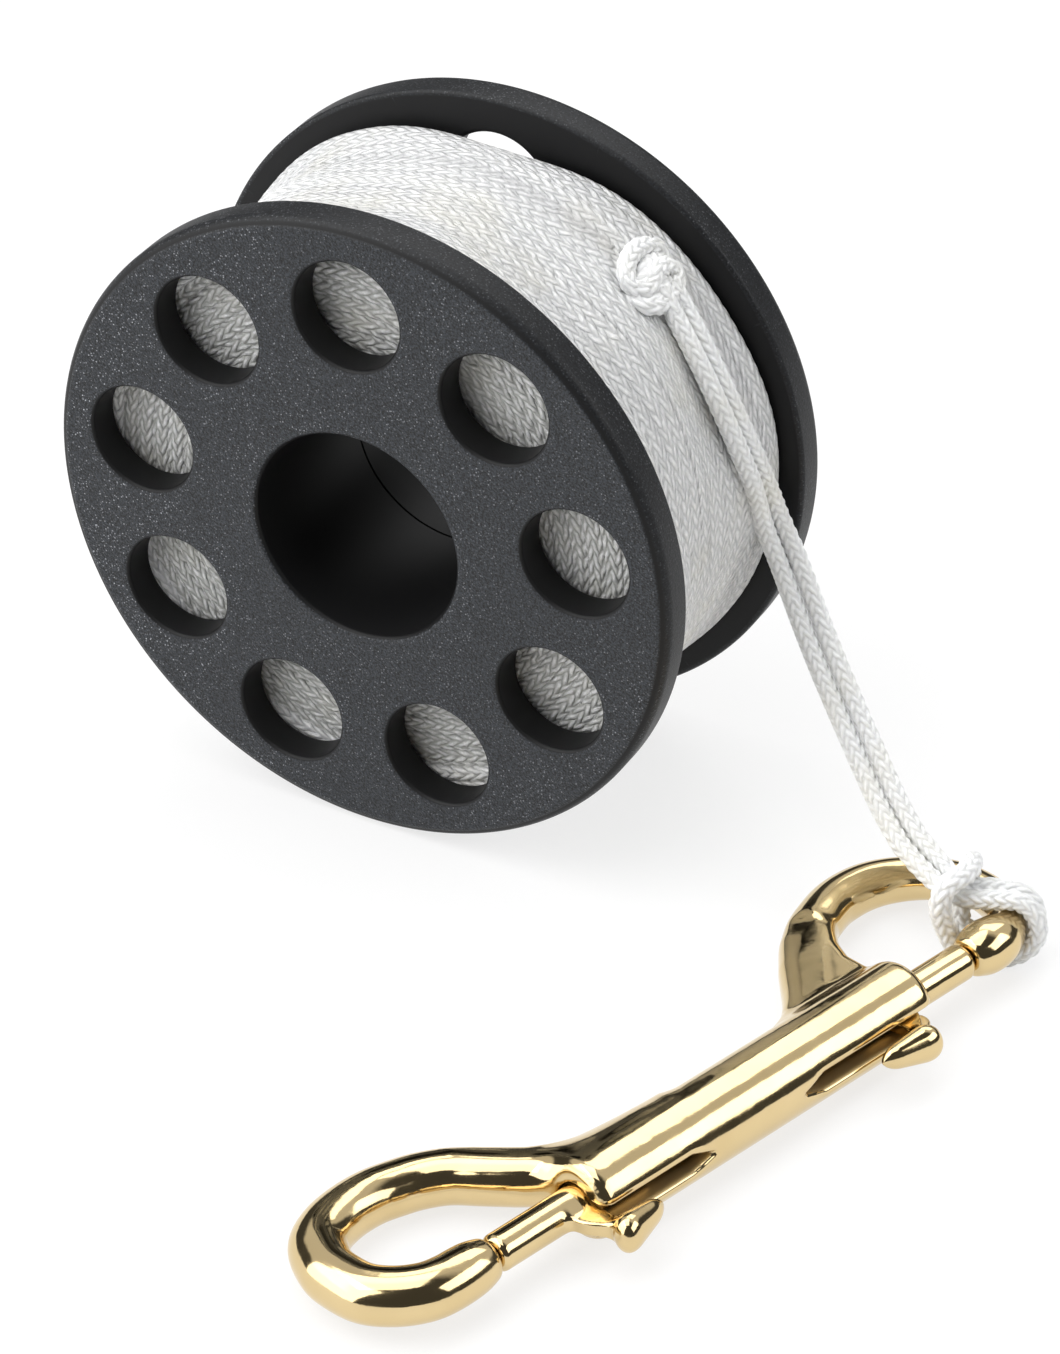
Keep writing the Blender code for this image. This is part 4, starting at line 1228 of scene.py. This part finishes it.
def bolt_field(x, y, z, tip, neck_inner, lug_end):
    """Distance to a bolt whose nose is at +X: a pin with a rounded nose, a neck and a lug. The
    lug is a cone whose side towards the barrel is parallel to it, with rounded ends, and the
    neck sweeps into its big end.
    """
    around = np.hypot(y, z)
    middle, half = (tip + bolt_inner_mm) / 2, (tip - bolt_inner_mm) / 2
    end = np.abs(x - middle) - (half - nose_radius_mm)
    pin = rounded([end, around - (bolt_radius_mm - nose_radius_mm)], nose_radius_mm)
    depth = np.clip((-y - bolt_radius_mm) / (lug_inner_mm - bolt_radius_mm), 0, 1.3)
    swept = (lug_end - 0.4 - neck_inner - neck_length_mm) * depth**2
    neck_middle = neck_inner + neck_length_mm / 2
    neck_sides = [
        np.abs(x - swept / 2 - neck_middle) - (neck_length_mm + swept) / 2 + neck_edge_mm,
        np.abs(y + lug_inner_mm / 2 + 0.5) - lug_inner_mm / 2 - 0.5,
        np.abs(z) - neck_half_thickness_mm + neck_edge_mm,
    ]
    neck = rounded(neck_sides, neck_edge_mm)
    along = np.clip((lug_end - x) / lug_length_mm, 0, 1)
    width = lug_half_width_mm + (lug_tip_half_mm - lug_half_width_mm) * along
    squeeze = lug_half_width_mm / lug_half_height_mm
    cone = (np.hypot((y + lug_inner_mm) * squeeze + width, z) - width) / squeeze
    ends = np.maximum(x - lug_end, lug_end - lug_length_mm - x)
    lug = -blended(-cone, -ends, lug_edge_mm)
    return blended(blended(pin, neck, neck_blend_mm), lug, lug_blend_mm)


# Each bolt's nose, the inner side of its neck and the big end of its lug, in millimetres from the
# barrel's middle
for hook, side, tip, neck_inner, lug_end in (
    ("tied_hook", 1, 34.6, 19.95, 21.85),
    ("free_hook", -1, 37.2, 24.55, 26.75),
):
    low, high = (12.2, -11.6, -3.6), (tip + 0.9, 3.2, 3.6)
    if side < 0:
        low, high = (-high[0], low[1], low[2]), (-low[0], high[1], high[2])

    def distance(x, y, z, side=side, tip=tip, neck_inner=neck_inner, lug_end=lug_end):
        """Distance to this bolt, whose nose is on its own side of the barrel."""
        return bolt_field(side * x, y, z, tip, neck_inner, lug_end)

    bolt = solid_piece(f"bolt_{hook}_pin", distance, low, high, bolt_step_mm, brass)
    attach(bolt, f"{hook}_bolt")
    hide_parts(f"bolt_{hook}")

# Studio: a plain white table, soft boxes behind, at the right and overhead, a large lamp at the
# front left that lights the flange's face, and a pale tent round them, open behind the camera.


def white_table():
    """Matt white board. The camera and shiny things see it white, and it keeps soft shadows."""
    made, tree, shader = new_material("white_board", Roughness=0.6)
    shader.inputs["Base Color"].default_value = colour("#f4f4f4")
    place = on_object(tree)
    roughen(tree, shader, noise(tree, place, 900.0), 1.0, 0.02 * mm)
    rays = add_node(tree, "ShaderNodeLightPath").outputs
    seen = maths(tree, "MAXIMUM", rays["Is Camera Ray"], rays["Is Glossy Ray"])
    seen = maths(tree, "MAXIMUM", seen, rays["Is Transmission Ray"])
    glow = add_node(tree, "ShaderNodeEmission", {"Color": colour("#ffffff"), "Strength": 1.02})
    share = maths(tree, "MULTIPLY", seen, 0.72)
    parts = {0: share, 1: shader.outputs["BSDF"], 2: glow.outputs["Emission"]}
    mixed = add_node(tree, "ShaderNodeMixShader", parts)
    tree.links.new(mixed.outputs["Shader"], tree.nodes["Material Output"].inputs["Surface"])
    return made


table_half = 0.8
table_mesh = bpy.data.meshes.new("table")
table_corners = np.array([(-1, -1, 0), (1, -1, 0), (1, 1, 0), (-1, 1, 0)]) * table_half
table_mesh.from_pydata(table_corners.tolist(), [], [(0, 1, 2, 3)])
table_mesh.materials.append(white_table())
new_object("table", table_mesh)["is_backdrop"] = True

world = bpy.data.worlds.new("studio")
world.use_nodes = True
bpy.context.scene.world = world
tree = world.node_tree
sky = tree.nodes["Background"]
direction = add_node(tree, "ShaderNodeTexCoord").outputs["Generated"]


def turned_to(aim, low, high):
    """0 to 1 as a direction turns from a cosine of low to high towards the aim."""
    toward = add_node(tree, "ShaderNodeVectorMath", {0: direction, 1: aim}, operation="DOT_PRODUCT")
    return ramp(tree, toward.outputs["Value"], low, high)


# A white tent round and over the table, open behind the camera, with a dark seam where its walls
# meet the table
walls = maths(tree, "MULTIPLY", turned_to(camera_back, 0.60, 0.40), 0.62)
seam = turned_to((0, 0, 1), 0.36, 0.44)
shade = maths(tree, "ADD", maths(tree, "MULTIPLY", walls, seam), 0.06)
# The camera sees it plain white, and the brass mirrors it as it is lit
seen = add_node(tree, "ShaderNodeLightPath").outputs["Is Camera Ray"]
tree.links.new(maths(tree, "MAXIMUM", seen, shade), sky.inputs["Strength"])
sky.inputs["Color"].default_value = colour("#ffffff")

lamp_aim = (0, 0, 0.03)


def soft_lamp(name, place, width, height, watts):
    """A flat soft lamp that faces the object and stays out of the picture itself."""
    data = bpy.data.lights.new(name, "AREA")
    data.shape = "RECTANGLE"
    data.size = width
    data.size_y = height
    data.energy = watts
    lamp = new_object(name, data)
    lamp.rotation_mode = "QUATERNION"
    lamp.rotation_quaternion = (Vector(place) - Vector(lamp_aim)).to_track_quat("Z", "Y")
    lamp.location = place
    lamp.visible_camera = False


soft_lamp("back_soft_box", (-0.15, 0.82, 1.01), 1.0, 0.60, 3.6)
soft_lamp("main_soft_box", (0.98, 0.22, 0.66), 1.0, 0.62, 4.7)
soft_lamp("top_soft_box", (-0.28, -0.16, 1.30), 1.25, 1.25, 10.6)
soft_lamp("front_left_lamp", (-0.75, -0.75, 0.62), 1.5, 1.5, 18.0)

bpy.context.scene.view_settings.view_transform = "Standard"

low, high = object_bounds()
